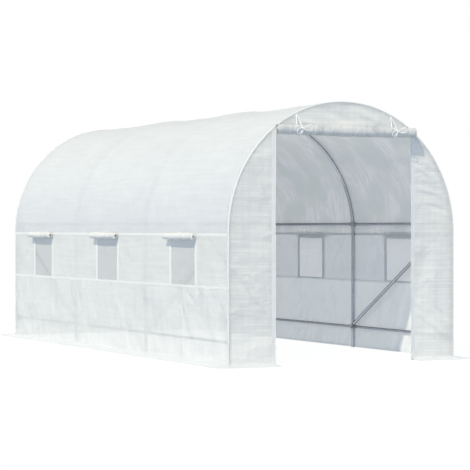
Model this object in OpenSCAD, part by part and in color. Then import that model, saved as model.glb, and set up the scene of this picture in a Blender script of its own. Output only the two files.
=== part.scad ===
// Walk-in polytunnel greenhouse: four galvanised tube hoops tied by rails and braces,
// under a sewn film cover with rolled-up window flaps and a rolled-up door.
// Width runs along X, length along Y with the door at the low end, and Z is up from the ground.

/* [Tunnel] */
// Overall width across the cover
tunnel_w = 2000; // [1800:50:2400]
// Overall length over the two end panels
tunnel_l = 4500; // [3600:100:6000]
// Height at which the straight sides turn into the round arch
side_h = 1000; // [900:10:1200]

/* [Steel frame] */
// Outside diameter of the hoop and brace tubes
tube_d = 25; // [22:1:30]
// Outside diameter of the rail tubes
rail_d = 19; // [16:1:20]
// Wall of the frame tubes
tube_wall = 1; // [0.8:0.1:1.5]
// Height of the side rails above the springing of the arch
side_rail_rise = 65; // [45:5:120]
// Height of the base rails above the ground
base_rail_z = 180; // [120:10:300]
// Length of the reduced arc end that slips into a leg
spigot_l = 60; // [40:5:90]

/* [Tube fittings] */
// Wall of the pressed cross and tee fittings
fit_wall = 2.5; // [2:0.1:4]
// Length of the sleeve that wraps a hoop
sleeve_l = 50; // [40:2:60]
// Reach of a rail socket from the middle of the hoop tube
socket_l = 56; // [45:1:80]
// Diameter of the boss that a brace bolts to
boss_d = 26; // [20:1:34]
// How far a boss stands out past its sleeve
boss_h = 3; // [2:0.5:6]

/* [Braces] */
// Thickness of a brace's flattened end
tab_t = 4; // [3:0.5:6]
// Length of the flat from the bolt centre to the start of the flare
tab_l = 26; // [20:1:40]
// Length over which the flat end flares out to the round tube
flare_l = 34; // [24:1:60]

/* [Cover] */
// Thickness of the cover film and its backing
cover_t = 2; // [1:0.5:3]
// Height of the seam under the windows
lower_seam_z = 580; // [450:10:650]
// Distance of the seam over the windows below the springing
upper_seam_drop = 20; // [10:5:60]
// Width of the sewn seam tapes
seam_tape_w = 24; // [16:2:40]
// Width of the loose skirt that lies out on the ground round the walls
skirt_w = 150; // [100:10:250]

/* [Windows] */
// Width of a window opening
win_w = 410; // [300:10:600]
// Distance of a window's middle behind the middle of its bay
win_shift = 16; // [0:2:60]
// Thickness of the insect net
screen_t = 1; // [0.5:0.5:2]
// Overlap of the net on the cover round the opening
screen_lap = 10; // [5:1:11]
// Overhang of a rolled window flap past each side of its opening
win_roll_lap = 45; // [10:5:90]
// Radius of a rolled window flap to the middle of its last turn
win_roll_r = 28; // [20:1:36]
// Drop of a window roll's middle below the upper seam
win_roll_drop = 16; // [10:1:30]

/* [Door] */
// Width of the doorway
door_w = 1210; // [900:10:1300]
// Overhang of the rolled door past each side of the doorway
door_roll_lap = 10; // [0:1:40]
// Radius of the rolled door to the middle of its last turn
door_roll_r = 41; // [30:1:52]
// Drop of the door roll's middle below the door head
door_roll_drop = 8; // [4:1:12]

/* [Rolled film] */
// Thickness of one loose turn of rolled film
turn_t = 4; // [3:0.5:5]
// Air between turns
turn_gap = 2; // [1:0.5:3]
// Radius of the open core of a roll
core_r = 9; // [6:1:14]

/* [Door ties] */
// Distance of each tie from the middle of the door
tie_x = 420; // [300:10:480]
// Width of a tie
tie_w = 8; // [5:1:20]
// Thickness of a tie
tie_t = 3; // [2:0.5:4]

/* [Hidden] */
$fn = 48;

// Sides of the tunnel, and the four hoops from the door to the back
LEFT = -1;
RIGHT = 1;
FRONT_HOOP = 0;
SECOND_HOOP = 1;
THIRD_HOOP = 2;
BACK_HOOP = 3;
ALL_HOOPS = [FRONT_HOOP, SECOND_HOOP, THIRD_HOOP, BACK_HOOP];
FRONT_BAY = 0;
MIDDLE_BAY = 1;
BACK_BAY = 2;
ALL_BAYS = [FRONT_BAY, MIDDLE_BAY, BACK_BAY];

// Clearances: a cover piece on the frame, a tube in a fitting, two tube ends, and the overrun of cuts
seat_gap = 0.3;
fit_clear = 0.4;
tube_end_gap = 2;
cut_over = 5;

// Frame tubes and fittings
tube_bore = tube_d - 2 * tube_wall;
rail_bore = rail_d - 2 * tube_wall;
fit_bore = tube_d + 2 * fit_clear;
fit_d = fit_bore + 2 * fit_wall;
socket_bore = rail_d + 2 * fit_clear;
socket_d = socket_bore + 2 * fit_wall;
spigot_d = tube_bore - 2 * fit_clear;
spigot_bore = spigot_d - 2 * tube_wall;
collar_d = tube_d - tube_wall;
collar_l = tube_d;

// Rolls: length over the overhangs, pitch of the turns, and the reach of the tied door roll
win_roll_l = win_w + 2 * win_roll_lap;
door_roll_l = door_w + 2 * door_roll_lap;
turn_pitch = turn_t + turn_gap;
turn_step = 20;
tie_bore_r = door_roll_r + turn_t / 2 + seat_gap;
tie_r = tie_bore_r + tie_t;
door_roll_out = door_roll_r + turn_t / 2;

// Ends of the tunnel: the origin is on the ground in the middle
front_y = -tunnel_l / 2;
back_y = tunnel_l / 2;

// Cover outline and the hoop line inside it
arch_r = tunnel_w / 2;
inner_r = arch_r - cover_t;
panel_r = inner_r - seat_gap;
hoop_r = panel_r - fit_d / 2;
hoop_inset = cover_t + seat_gap + fit_d / 2;
hoop_pitch = (tunnel_l - 2 * hoop_inset) / len(ALL_BAYS);
function hoop_y(i) = front_y + hoop_inset + i * hoop_pitch;
function window_y(i) = (hoop_y(i) + hoop_y(i + 1)) / 2 + win_shift;

// Rails: a straight sleeve on the curved hoop sits half of the curve's rise inside the hoop line
sleeve_rise = hoop_r - sqrt(pow(hoop_r, 2) - pow(sleeve_l / 2, 2));
rail_r = hoop_r - sleeve_rise / 2;
side_rail_angle = asin(side_rail_rise / rail_r);
side_rail_z = side_h + side_rail_rise;
side_rail_x = rail_r * cos(side_rail_angle);
ridge_z = side_h + rail_r;
rail_end_gap = tube_d / 2 + tube_end_gap;

// Braces run on the inner side of the hoops, flat against the fittings' bosses
boss_x = hoop_r - fit_d / 2 - boss_h;

// Seams and window openings
upper_seam_z = side_h - upper_seam_drop;
win_sill_z = lower_seam_z + seam_tape_w / 2;
win_head_z = upper_seam_z - seam_tape_w / 2;

// Door head: the chord under the lunette, a little below where the door edges meet the arch
door_head_drop = 13;
door_head_z = side_h + sqrt(pow(panel_r, 2) - pow(door_w / 2, 2)) - door_head_drop;
door_roll_z = door_head_z - door_roll_drop;
door_tail_top_z = door_head_z + seam_tape_w;

// Where a tie leaves the end panel, and where its turn round the roll ends
tie_top_z = side_h + sqrt(pow(panel_r, 2) - pow(tie_x, 2)) - seam_tape_w / 2;
tie_end_angle = 345;

// Colours
steel = "silver";
film = "whitesmoke";
net = "lightgray";
tape = "white";

// Places its children on one side of the tunnel; they are drawn for the right-hand side
module on_side(side) {
    mirror([side == LEFT ? 1 : 0, 0, 0]) children();
}

// Straight tube along Z from the ground of its own frame
module tube(outside, bore, l) {
    difference() {
        cylinder(d = outside, h = l);
        translate([0, 0, -cut_over]) cylinder(d = bore, h = l + 2 * cut_over);
    }
}

// Ring section swept round the arch from one angle to another; angle 0 is the right-hand springing
module arch_sweep(outside, bore, from, to) {
    translate([0, 0, side_h])
        rotate([90, 0, 0])
            rotate([0, 0, from])
                rotate_extrude(angle = to - from)
                    translate([hoop_r, 0])
                        difference() {
                            circle(d = outside);
                            circle(d = bore);
                        }
}

// Angle of arch that a length along the hoop line takes up
function arch_angle(l) = l / hoop_r * 180 / PI;

// Legs and arcs of a hoop
module hoop_legs(i) {
    color(steel)
        for (side = [LEFT, RIGHT])
            on_side(side)
                translate([hoop_r, hoop_y(i), 0]) tube(tube_d, tube_bore, side_h);
}

module arc_spigot() {
    translate([hoop_r, 0, side_h - spigot_l]) tube(spigot_d, spigot_bore, spigot_l + collar_l);
    translate([hoop_r, 0, side_h]) tube(collar_d, spigot_bore, collar_l);
}

module hoop_arcs(i) {
    color(steel)
        for (side = [LEFT, RIGHT])
            on_side(side)
                translate([0, hoop_y(i), 0]) {
                    arch_sweep(tube_d, tube_bore, 0, 90 - arch_angle(tube_end_gap / 2));
                    arc_spigot();
                }
}

// Rails: one tube in each bay, its ends held in the fittings' sockets
module bay_rails(x, z) {
    color(steel)
        for (bay = ALL_BAYS)
            translate([x, hoop_y(bay) + rail_end_gap, z])
                rotate([-90, 0, 0]) tube(rail_d, rail_bore, hoop_pitch - 2 * rail_end_gap);
}

// Braces: a round tube with flattened, rounded ends, lying along X with its flats square to Z
module flattened_end() {
    flare_end = tab_l + flare_l;
    translate([0, 0, -tab_t / 2]) {
        cylinder(d = tube_d, h = tab_t);
        translate([0, -tube_d / 2, 0]) cube([tab_l, tube_d, tab_t]);
    }
    intersection() {
        rotate([0, 90, 0]) cylinder(d = tube_d, h = flare_end);
        rotate([90, 0, 0])
            linear_extrude(height = tube_d + 2 * cut_over, center = true)
                polygon([
                    [tab_l, -tab_t / 2], [flare_end, -tube_d / 2],
                    [flare_end, tube_d / 2], [tab_l, tab_t / 2]
                ]);
    }
}

module brace_bar(l) {
    flare_end = tab_l + flare_l;
    flattened_end();
    translate([l, 0, 0]) rotate([0, 0, 180]) flattened_end();
    translate([flare_end, 0, 0]) rotate([0, 90, 0]) tube(tube_d, tube_bore, l - 2 * flare_end);
}

module brace(side, low_hoop, high_hoop) {
    run = hoop_y(high_hoop) - hoop_y(low_hoop);
    rise = side_rail_z - base_rail_z;
    color(steel)
        on_side(side)
            translate([boss_x - tab_t / 2, hoop_y(low_hoop), base_rail_z])
                rotate([atan2(rise, run), 0, 0])
                    rotate([0, 0, 90]) rotate([90, 0, 0]) brace_bar(norm([run, rise]));
}

// Sockets of a fitting along Y: both ways inside the tunnel, one way on the end hoops
module fitting_sockets(i, d, reach) {
    to_front = i == FRONT_HOOP ? 0 : reach;
    to_back = i == BACK_HOOP ? 0 : reach;
    translate([0, -to_front, 0]) rotate([-90, 0, 0]) cylinder(d = d, h = to_front + to_back);
}

// Fitting round a hoop tube that leans over by tilt, with an inner boss where a brace bolts on
module fitting(i, at_x, at_z, tilt, boss) {
    translate([at_x, hoop_y(i), at_z])
        difference() {
            union() {
                rotate([0, -tilt, 0]) cylinder(d = fit_d, h = sleeve_l, center = true);
                fitting_sockets(i, socket_d, socket_l);
                if (boss)
                    translate([boss_x - at_x, 0, 0]) rotate([0, 90, 0]) cylinder(d = boss_d, h = at_x - boss_x);
            }
            rotate([0, -tilt, 0]) cylinder(d = fit_bore, h = sleeve_l + 2 * cut_over, center = true);
            fitting_sockets(i, socket_bore, socket_l + cut_over);
        }
}

module ridge_fittings() {
    color(steel) for (i = ALL_HOOPS) fitting(i, 0, ridge_z, 90, false);
}

module side_fittings(side) {
    color(steel)
        on_side(side)
            for (i = ALL_HOOPS)
                fitting(i, side_rail_x, side_rail_z, side_rail_angle, i == FRONT_HOOP || i == BACK_HOOP);
}

module base_fittings(side) {
    color(steel)
        on_side(side)
            for (i = ALL_HOOPS) fitting(i, hoop_r, base_rail_z, 0, i == SECOND_HOOP || i == THIRD_HOOP);
}

// Cover: outline of the tunnel in X and height, at a given radius, cut off at the ground
module arch_outline(r) {
    intersection() {
        union() {
            translate([0, side_h]) circle(r = r, $fn = 180);
            translate([-r, 0]) square([2 * r, side_h]);
        }
        translate([-r - cut_over, 0]) square([2 * (r + cut_over), side_h + r + cut_over]);
    }
}

// Sets an outline drawn in X and height up in the tunnel, from one Y to another
module stand_up(from_y, to_y) {
    translate([0, to_y, 0]) rotate([90, 0, 0]) linear_extrude(height = to_y - from_y) children();
}

module roof_cover() {
    color(film)
        stand_up(front_y, back_y)
            difference() {
                arch_outline(arch_r);
                arch_outline(inner_r);
                translate([-arch_r - cut_over, -cut_over])
                    square([2 * (arch_r + cut_over), upper_seam_z + cut_over]);
            }
}

// Flat strip of the side cover between two heights
module side_strip(low_z, high_z) {
    translate([inner_r, front_y, low_z]) cube([cover_t, tunnel_l, high_z - low_z]);
}

module window_band(side) {
    color(film)
        on_side(side)
            difference() {
                side_strip(lower_seam_z, upper_seam_z);
                for (bay = ALL_BAYS)
                    translate([inner_r - cut_over, window_y(bay) - win_w / 2, win_sill_z])
                        cube([cover_t + 2 * cut_over, win_w, win_head_z - win_sill_z]);
            }
}

module lower_wall(side) {
    color(film) on_side(side) side_strip(0, lower_seam_z);
}

module front_side_panel(side) {
    color(film)
        on_side(side)
            stand_up(front_y, front_y + cover_t)
                intersection() {
                    arch_outline(panel_r);
                    translate([door_w / 2, 0]) square([panel_r, door_head_z]);
                }
}

module front_lunette() {
    color(film)
        stand_up(front_y, front_y + cover_t)
            intersection() {
                arch_outline(panel_r);
                translate([-panel_r, door_head_z]) square([2 * panel_r, panel_r]);
            }
}

module back_panel() {
    color(film) stand_up(back_y - cover_t, back_y) arch_outline(panel_r);
}

// Skirt: strips of the cover that lie out on the ground along each wall and end panel
module side_skirt(side) {
    color(film) on_side(side) translate([arch_r, front_y, 0]) cube([skirt_w, tunnel_l, cover_t]);
}

module front_skirts() {
    color(film)
        for (side = [LEFT, RIGHT])
            on_side(side)
                translate([door_w / 2, front_y - skirt_w, 0]) cube([panel_r - door_w / 2, skirt_w, cover_t]);
}

module back_skirt() {
    color(film) translate([-panel_r, back_y, 0]) cube([2 * panel_r, skirt_w, cover_t]);
}

// Windows: insect net sewn to the inside of the band, and the flap rolled up outside
module window_screens(side) {
    color(net)
        on_side(side)
            for (bay = ALL_BAYS)
                translate([inner_r - screen_t, window_y(bay) - win_w / 2 - screen_lap, win_sill_z - screen_lap])
                    cube([screen_t, win_w + 2 * screen_lap, win_head_z - win_sill_z + 2 * screen_lap]);
}

// Section of a rolled sheet: a spiral about the origin whose last turn ends at +X
// and runs straight up as the tail that the roll hangs by
module roll_section(r, tail_h) {
    turns = (r - core_r) / turn_pitch;
    steps = ceil(turns * 360 / turn_step);
    angles = [for (k = [0:steps]) -turns * 360 * (1 - k / steps)];
    function spiral_point(a, offset_r) = (r + turn_pitch * a / 360 + offset_r) * [cos(a), sin(a)];
    polygon(concat(
        [for (a = angles) spiral_point(a, turn_t / 2)],
        [[r + turn_t / 2, tail_h], [r - turn_t / 2, tail_h]],
        [for (k = [0:steps]) spiral_point(angles[steps - k], -turn_t / 2)]
    ));
}

module window_roll(side, bay) {
    roll_z = upper_seam_z - win_roll_drop;
    color(film)
        on_side(side)
            translate([arch_r + win_roll_r + turn_t / 2, window_y(bay) + win_roll_l / 2, roll_z])
                rotate([90, 0, 0])
                    linear_extrude(height = win_roll_l)
                        mirror([1, 0]) roll_section(win_roll_r, side_h - roll_z);
}

// Door: the flap rolled up under the lunette, and the two ties that hold it
module at_door_roll(x) {
    translate([x, front_y - door_roll_out, door_roll_z]) rotate([90, 0, 90]) children();
}

module door_roll() {
    color(film)
        at_door_roll(-door_roll_l / 2)
            linear_extrude(height = door_roll_l) roll_section(door_roll_r, door_tail_top_z - door_roll_z);
}

// Side view of a tie: down from the lunette, over the front of the roll and under it
module tie_section() {
    hang_u = door_roll_out - tie_t / 2;
    hang_v = tie_top_z - door_roll_z;
    mid_r = tie_bore_r + tie_t / 2;
    reach = norm([hang_u, hang_v]);
    meet_angle = atan2(hang_v, hang_u) + acos(mid_r / reach);
    strand = sqrt(pow(reach, 2) - pow(mid_r, 2)) * [sin(meet_angle), -cos(meet_angle)];
    steps = ceil((tie_end_angle - meet_angle) / turn_step);
    angles = [for (k = [0:steps]) meet_angle + (tie_end_angle - meet_angle) * k / steps];
    outer = [for (a = angles) tie_r * [cos(a), sin(a)]];
    inner = [for (a = angles) tie_bore_r * [cos(a), sin(a)]];
    polygon(concat(
        [inner[0] + strand, outer[0] + strand],
        outer,
        [for (k = [0:steps]) inner[steps - k]]
    ));
}

module door_ties() {
    color(tape)
        for (x = [-tie_x, tie_x])
            at_door_roll(x - tie_w / 2) linear_extrude(height = tie_w) tie_section();
}

hoop_legs(FRONT_HOOP);  // front_hoop_legs
hoop_legs(SECOND_HOOP);  // second_hoop_legs
hoop_legs(THIRD_HOOP);  // third_hoop_legs
hoop_legs(BACK_HOOP);  // back_hoop_legs
hoop_arcs(FRONT_HOOP);  // front_hoop_arcs
hoop_arcs(SECOND_HOOP);  // second_hoop_arcs
hoop_arcs(THIRD_HOOP);  // third_hoop_arcs
hoop_arcs(BACK_HOOP);  // back_hoop_arcs
bay_rails(0, ridge_z);  // ridge_rails
bay_rails(-side_rail_x, side_rail_z);  // left_side_rails
bay_rails(side_rail_x, side_rail_z);  // right_side_rails
bay_rails(-hoop_r, base_rail_z);  // left_base_rails
bay_rails(hoop_r, base_rail_z);  // right_base_rails
brace(LEFT, SECOND_HOOP, FRONT_HOOP);  // left_front_brace
brace(LEFT, THIRD_HOOP, BACK_HOOP);  // left_back_brace
brace(RIGHT, SECOND_HOOP, FRONT_HOOP);  // right_front_brace
brace(RIGHT, THIRD_HOOP, BACK_HOOP);  // right_back_brace
ridge_fittings();
side_fittings(LEFT);  // left_side_fittings
side_fittings(RIGHT);  // right_side_fittings
base_fittings(LEFT);  // left_base_fittings
base_fittings(RIGHT);  // right_base_fittings
roof_cover();
window_band(LEFT);  // left_window_band
window_band(RIGHT);  // right_window_band
lower_wall(LEFT);  // left_lower_wall
lower_wall(RIGHT);  // right_lower_wall
front_side_panel(LEFT);  // front_left_panel
front_side_panel(RIGHT);  // front_right_panel
front_lunette();
back_panel();
side_skirt(LEFT);  // left_skirt
side_skirt(RIGHT);  // right_skirt
front_skirts();
back_skirt();
window_screens(LEFT);  // left_window_screens
window_screens(RIGHT);  // right_window_screens
window_roll(LEFT, FRONT_BAY);  // left_front_window_roll
window_roll(LEFT, MIDDLE_BAY);  // left_middle_window_roll
window_roll(LEFT, BACK_BAY);  // left_back_window_roll
window_roll(RIGHT, FRONT_BAY);  // right_front_window_roll
window_roll(RIGHT, MIDDLE_BAY);  // right_middle_window_roll
window_roll(RIGHT, BACK_BAY);  // right_back_window_roll
door_roll();
door_ties();
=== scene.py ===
"""Looks of a walk-in polytunnel greenhouse: a sewn film cover on a galvanised hoop frame.

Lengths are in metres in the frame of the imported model: X runs across the tunnel, Y from the
door end to the back end, and Z up from the ground.
"""

import logging
import math
from dataclasses import dataclass, field
from enum import Enum
from typing import Callable, Sequence

import bpy
import numpy as np
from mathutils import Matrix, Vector


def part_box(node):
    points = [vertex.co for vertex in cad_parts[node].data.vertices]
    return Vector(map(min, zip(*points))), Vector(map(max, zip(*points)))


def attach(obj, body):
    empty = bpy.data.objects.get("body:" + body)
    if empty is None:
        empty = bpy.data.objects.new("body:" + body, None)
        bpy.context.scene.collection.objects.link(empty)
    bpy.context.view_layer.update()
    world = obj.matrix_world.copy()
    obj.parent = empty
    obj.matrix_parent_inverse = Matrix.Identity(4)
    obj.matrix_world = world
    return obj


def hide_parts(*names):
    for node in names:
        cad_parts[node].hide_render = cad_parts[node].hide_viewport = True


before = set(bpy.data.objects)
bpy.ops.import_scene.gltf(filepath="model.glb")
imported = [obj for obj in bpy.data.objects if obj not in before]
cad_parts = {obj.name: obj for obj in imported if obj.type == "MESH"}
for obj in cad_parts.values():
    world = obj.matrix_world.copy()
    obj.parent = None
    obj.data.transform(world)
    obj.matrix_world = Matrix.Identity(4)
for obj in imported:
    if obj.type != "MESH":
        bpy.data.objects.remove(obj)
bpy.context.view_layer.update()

Array = np.ndarray
Numbers = float | np.ndarray
Colour = tuple[float, float, float, float]
Pair = tuple[float, float]
Point = tuple[float, float, float]

LOG = logging.getLogger("polytunnel")
BODY = "root"
UV_NAME = "metres"
HOOPS = ("front", "second", "third", "back")
HOOP_LEGS = [f"{hoop}_hoop_legs" for hoop in HOOPS]


class Side(Enum):
    """The two long sides of the tunnel, as seen from in front of the door."""

    LEFT = -1
    RIGHT = 1

    @property
    def label(self) -> str:
        """Word for the side in the names of pieces."""
        return self.name.lower()


class Bay(Enum):
    """The three bays between hoops, from the door to the back."""

    FRONT = "front"
    MIDDLE = "middle"
    BACK = "back"


class Slot(Enum):
    """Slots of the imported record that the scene's own pieces belong to."""

    FITTING = "zinc_fitting"
    FILM = "cover_film"
    ROLLED = "rolled_film"
    NET = "insect_net"
    TAPE = "white_tape"


class Hold(Enum):
    """How a sheet is held."""

    STRETCHED = "stretched"
    LAID = "laid"
    FOLDED = "folded"


def tone(red: float, green: float, blue: float) -> Colour:
    """A solid colour."""
    return red, green, blue, 1.0


def ease(values: Array) -> Array:
    """Smooths values from 0 to 1 so that they start and end level."""
    clipped = np.clip(values, 0.0, 1.0)
    return clipped * clipped * (3.0 - 2.0 * clipped)


def creased(noise: Array, rounding: float = 0.004) -> Array:
    """Turns noise into folds with sharp crests and round valleys."""
    return 0.5 - np.sqrt(np.abs(noise) + rounding)


def stations(breaks: Sequence[float], step: float) -> Array:
    """Places along a line that keep every break.

    Args:
        breaks: places that have to be kept, in order.
        step: widest distance between two places.

    Returns:
        All places, in order.
    """
    parts = [np.array(breaks[:1])]
    for low, high in zip(breaks[:-1], breaks[1:]):
        count = max(1, math.ceil((high - low) / step))
        parts.append(np.linspace(low, high, count + 1)[1:])
    return np.concatenate(parts)


def run_along(points: Array) -> Array:
    """Way from the first point of a path to each of its points."""
    return np.concatenate([[0.0], np.cumsum(np.linalg.norm(np.diff(points, axis=0), axis=1))])


def ring_angles(count: int) -> Array:
    """Angles of points spread evenly round a ring."""
    return np.linspace(0.0, 2 * math.pi, count, endpoint=False)


def smooth_path(points: Sequence[Sequence[float]], count: int, fineness: int = 40) -> Array:
    """Runs one smooth curve through a few points.

    Args:
        points: the points, in order.
        count: number of places on the curve.
        fineness: steps from point to point while the curve is measured.

    Returns:
        The places, evenly spaced along the curve.
    """
    knots = np.asarray(points, float)
    ends = np.vstack([2 * knots[0] - knots[1], knots, 2 * knots[-1] - knots[-2]])
    spans = len(knots) - 1
    place = np.linspace(0.0, spans, spans * fineness + 1)
    first = np.minimum(place.astype(int), spans - 1)
    f = (place - first)[:, None]
    a, b, c, d = (ends[first + shift] for shift in range(4))
    bend, twist = 2 * a - 5 * b + 4 * c - d, 3 * b - a - 3 * c + d
    curve = 0.5 * (2 * b + (c - a) * f + bend * f**2 + twist * f**3)
    run = run_along(curve)
    wanted = np.linspace(0.0, run[-1], count)
    return np.stack([np.interp(wanted, run, curve[:, axis]) for axis in range(3)], axis=1)


class Ripple:
    """Smooth seeded noise over a plane, from -1 to 1."""

    LATTICE = 128
    GAIN = 1.5

    def __init__(self, seed: int) -> None:
        """Draws the slopes of the lattice.

        Args:
            seed: seed of the draw.
        """
        grid = (self.LATTICE, self.LATTICE)
        turns = np.random.default_rng(seed).uniform(0.0, 2.0 * math.pi, grid)
        self.slopes = np.stack([np.cos(turns), np.sin(turns)], axis=-1)

    def at(self, u: Array, v: Array, size: Pair) -> Array:
        """Noise at some places.

        Args:
            u: places along the first axis.
            v: places along the second axis.
            size: length of a lattice cell along each axis.

        Returns:
            The noise at each place.
        """
        u, v = np.broadcast_arrays(u / size[0], v / size[1])
        i, j = np.floor(u).astype(int), np.floor(v).astype(int)
        f, g = u - i, v - j
        blend_u, blend_v = (x**3 * (x * (6 * x - 15) + 10) for x in (f, g))
        corner = {}
        for di in (0, 1):
            for dj in (0, 1):
                slope = self.slopes[(i + di) % self.LATTICE, (j + dj) % self.LATTICE]
                corner[di, dj] = slope[..., 0] * (f - di) + slope[..., 1] * (g - dj)
        low = corner[0, 0] * (1 - blend_u) + corner[1, 0] * blend_u
        high = corner[0, 1] * (1 - blend_u) + corner[1, 1] * blend_u
        return self.GAIN * (low * (1 - blend_v) + high * blend_v)


@dataclass(frozen=True)
class Fold:
    """One straight crease pressed into a sheet, in the sheet's own two coordinates."""

    start: Pair
    end: Pair
    depth: float
    width: float

    def at(self, u: Array, v: Array) -> Array:
        """Height of the crease.

        Args:
            u: first sheet coordinate of the places.
            v: second sheet coordinate of the places.

        Returns:
            Height at each place, fading out at the ends of the crease.
        """
        run = np.subtract(self.end, self.start)
        length = float(np.hypot(*run))
        du, dv = u - self.start[0], v - self.start[1]
        along = (du * run[0] + dv * run[1]) / length**2
        across = (du * run[1] - dv * run[0]) / length
        fade = np.sin(math.pi * np.clip(along, 0.0, 1.0))
        return self.depth * fade * np.exp(-((across / self.width) ** 2))


# Creases of the front film that show in the photograph: beside the door on the right, over the
# door, and one beside it on the left, by places across the tunnel and heights
FRONT_CREASES = (
    Fold((0.60, 1.36), (0.96, 1.27), 0.010, 0.013),
    Fold((0.68, 1.22), (0.99, 1.16), -0.009, 0.015),
    Fold((0.64, 1.52), (0.80, 1.43), 0.008, 0.013),
    Fold((0.62, 0.40), (0.99, 0.14), 0.011, 0.018),
    Fold((0.74, 0.46), (1.00, 0.28), -0.010, 0.018),
    Fold((-0.22, 1.96), (0.08, 1.82), -0.012, 0.034),
    Fold((0.02, 1.98), (0.34, 1.83), 0.011, 0.030),
    Fold((-0.44, 1.86), (-0.20, 1.80), 0.009, 0.022),
    Fold((-0.92, 0.70), (-0.66, 0.52), 0.003, 0.022),
)


@dataclass(frozen=True)
class TunnelShape:
    """Main sizes of the tunnel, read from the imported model."""

    radius: float
    spring: float
    front: float
    back: float
    hoops: tuple[float, ...]
    lower_seam: float
    upper_seam: float
    sill: float
    head: float
    windows: tuple[Pair, ...]
    door_half: float
    door_head: float
    skirt: float
    wall_rails: tuple[float, ...]

    @classmethod
    def from_frame(cls, digits: int = 4) -> "TunnelShape":
        """Reads the sizes from the nodes' boxes and from the corners of the window band.

        Args:
            digits: decimals at which two corners of the band count as level.

        Returns:
            The sizes.
        """
        roof_low, roof_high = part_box("roof_cover")
        corners = [v.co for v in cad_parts["left_window_band"].data.vertices]
        ys = sorted({round(c.y, digits) for c in corners})
        zs = sorted({round(c.z, digits) for c in corners})
        legs = [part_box(node) for node in HOOP_LEGS]
        rails = [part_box(f"left_{row}_rails") for row in ("base", "side")]
        return cls(
            radius=roof_high.x,
            spring=roof_high.z - roof_high.x,
            front=roof_low.y,
            back=roof_high.y,
            hoops=tuple((low.y + high.y) / 2 for low, high in legs),
            lower_seam=zs[0],
            upper_seam=zs[-1],
            sill=zs[1],
            head=zs[-2],
            windows=tuple(zip(ys[1:-1:2], ys[2:-1:2])),
            door_half=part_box("front_right_panel")[0].x,
            door_head=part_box("front_lunette")[0].z,
            skirt=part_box("right_skirt")[1].x - roof_high.x,
            wall_rails=tuple((low.z + high.z) / 2 for low, high in rails),
        )

    @property
    def length(self) -> float:
        """Length of the tunnel over its ends."""
        return self.back - self.front

    @property
    def girth(self) -> float:
        """Way round the cover from the ground on the left to the ground on the right."""
        return 2 * self.spring + math.pi * self.radius

    @property
    def rails(self) -> tuple[float, ...]:
        """Ways round the girth from the ground to the rails of one side and to the ridge rail."""
        return (*self.wall_rails, self.girth / 2)

    def arch_half(self, z: Numbers) -> Numbers:
        """Half width of the tunnel at a height."""
        rise = np.clip(np.asarray(z) - self.spring, 0.0, self.radius)
        return np.sqrt(self.radius**2 - rise**2)

    def arch_top(self, x: Array) -> Array:
        """Height of the arch over a place across the tunnel."""
        return self.spring + np.sqrt(np.maximum(self.radius**2 - np.asarray(x) ** 2, 0.0))


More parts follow.
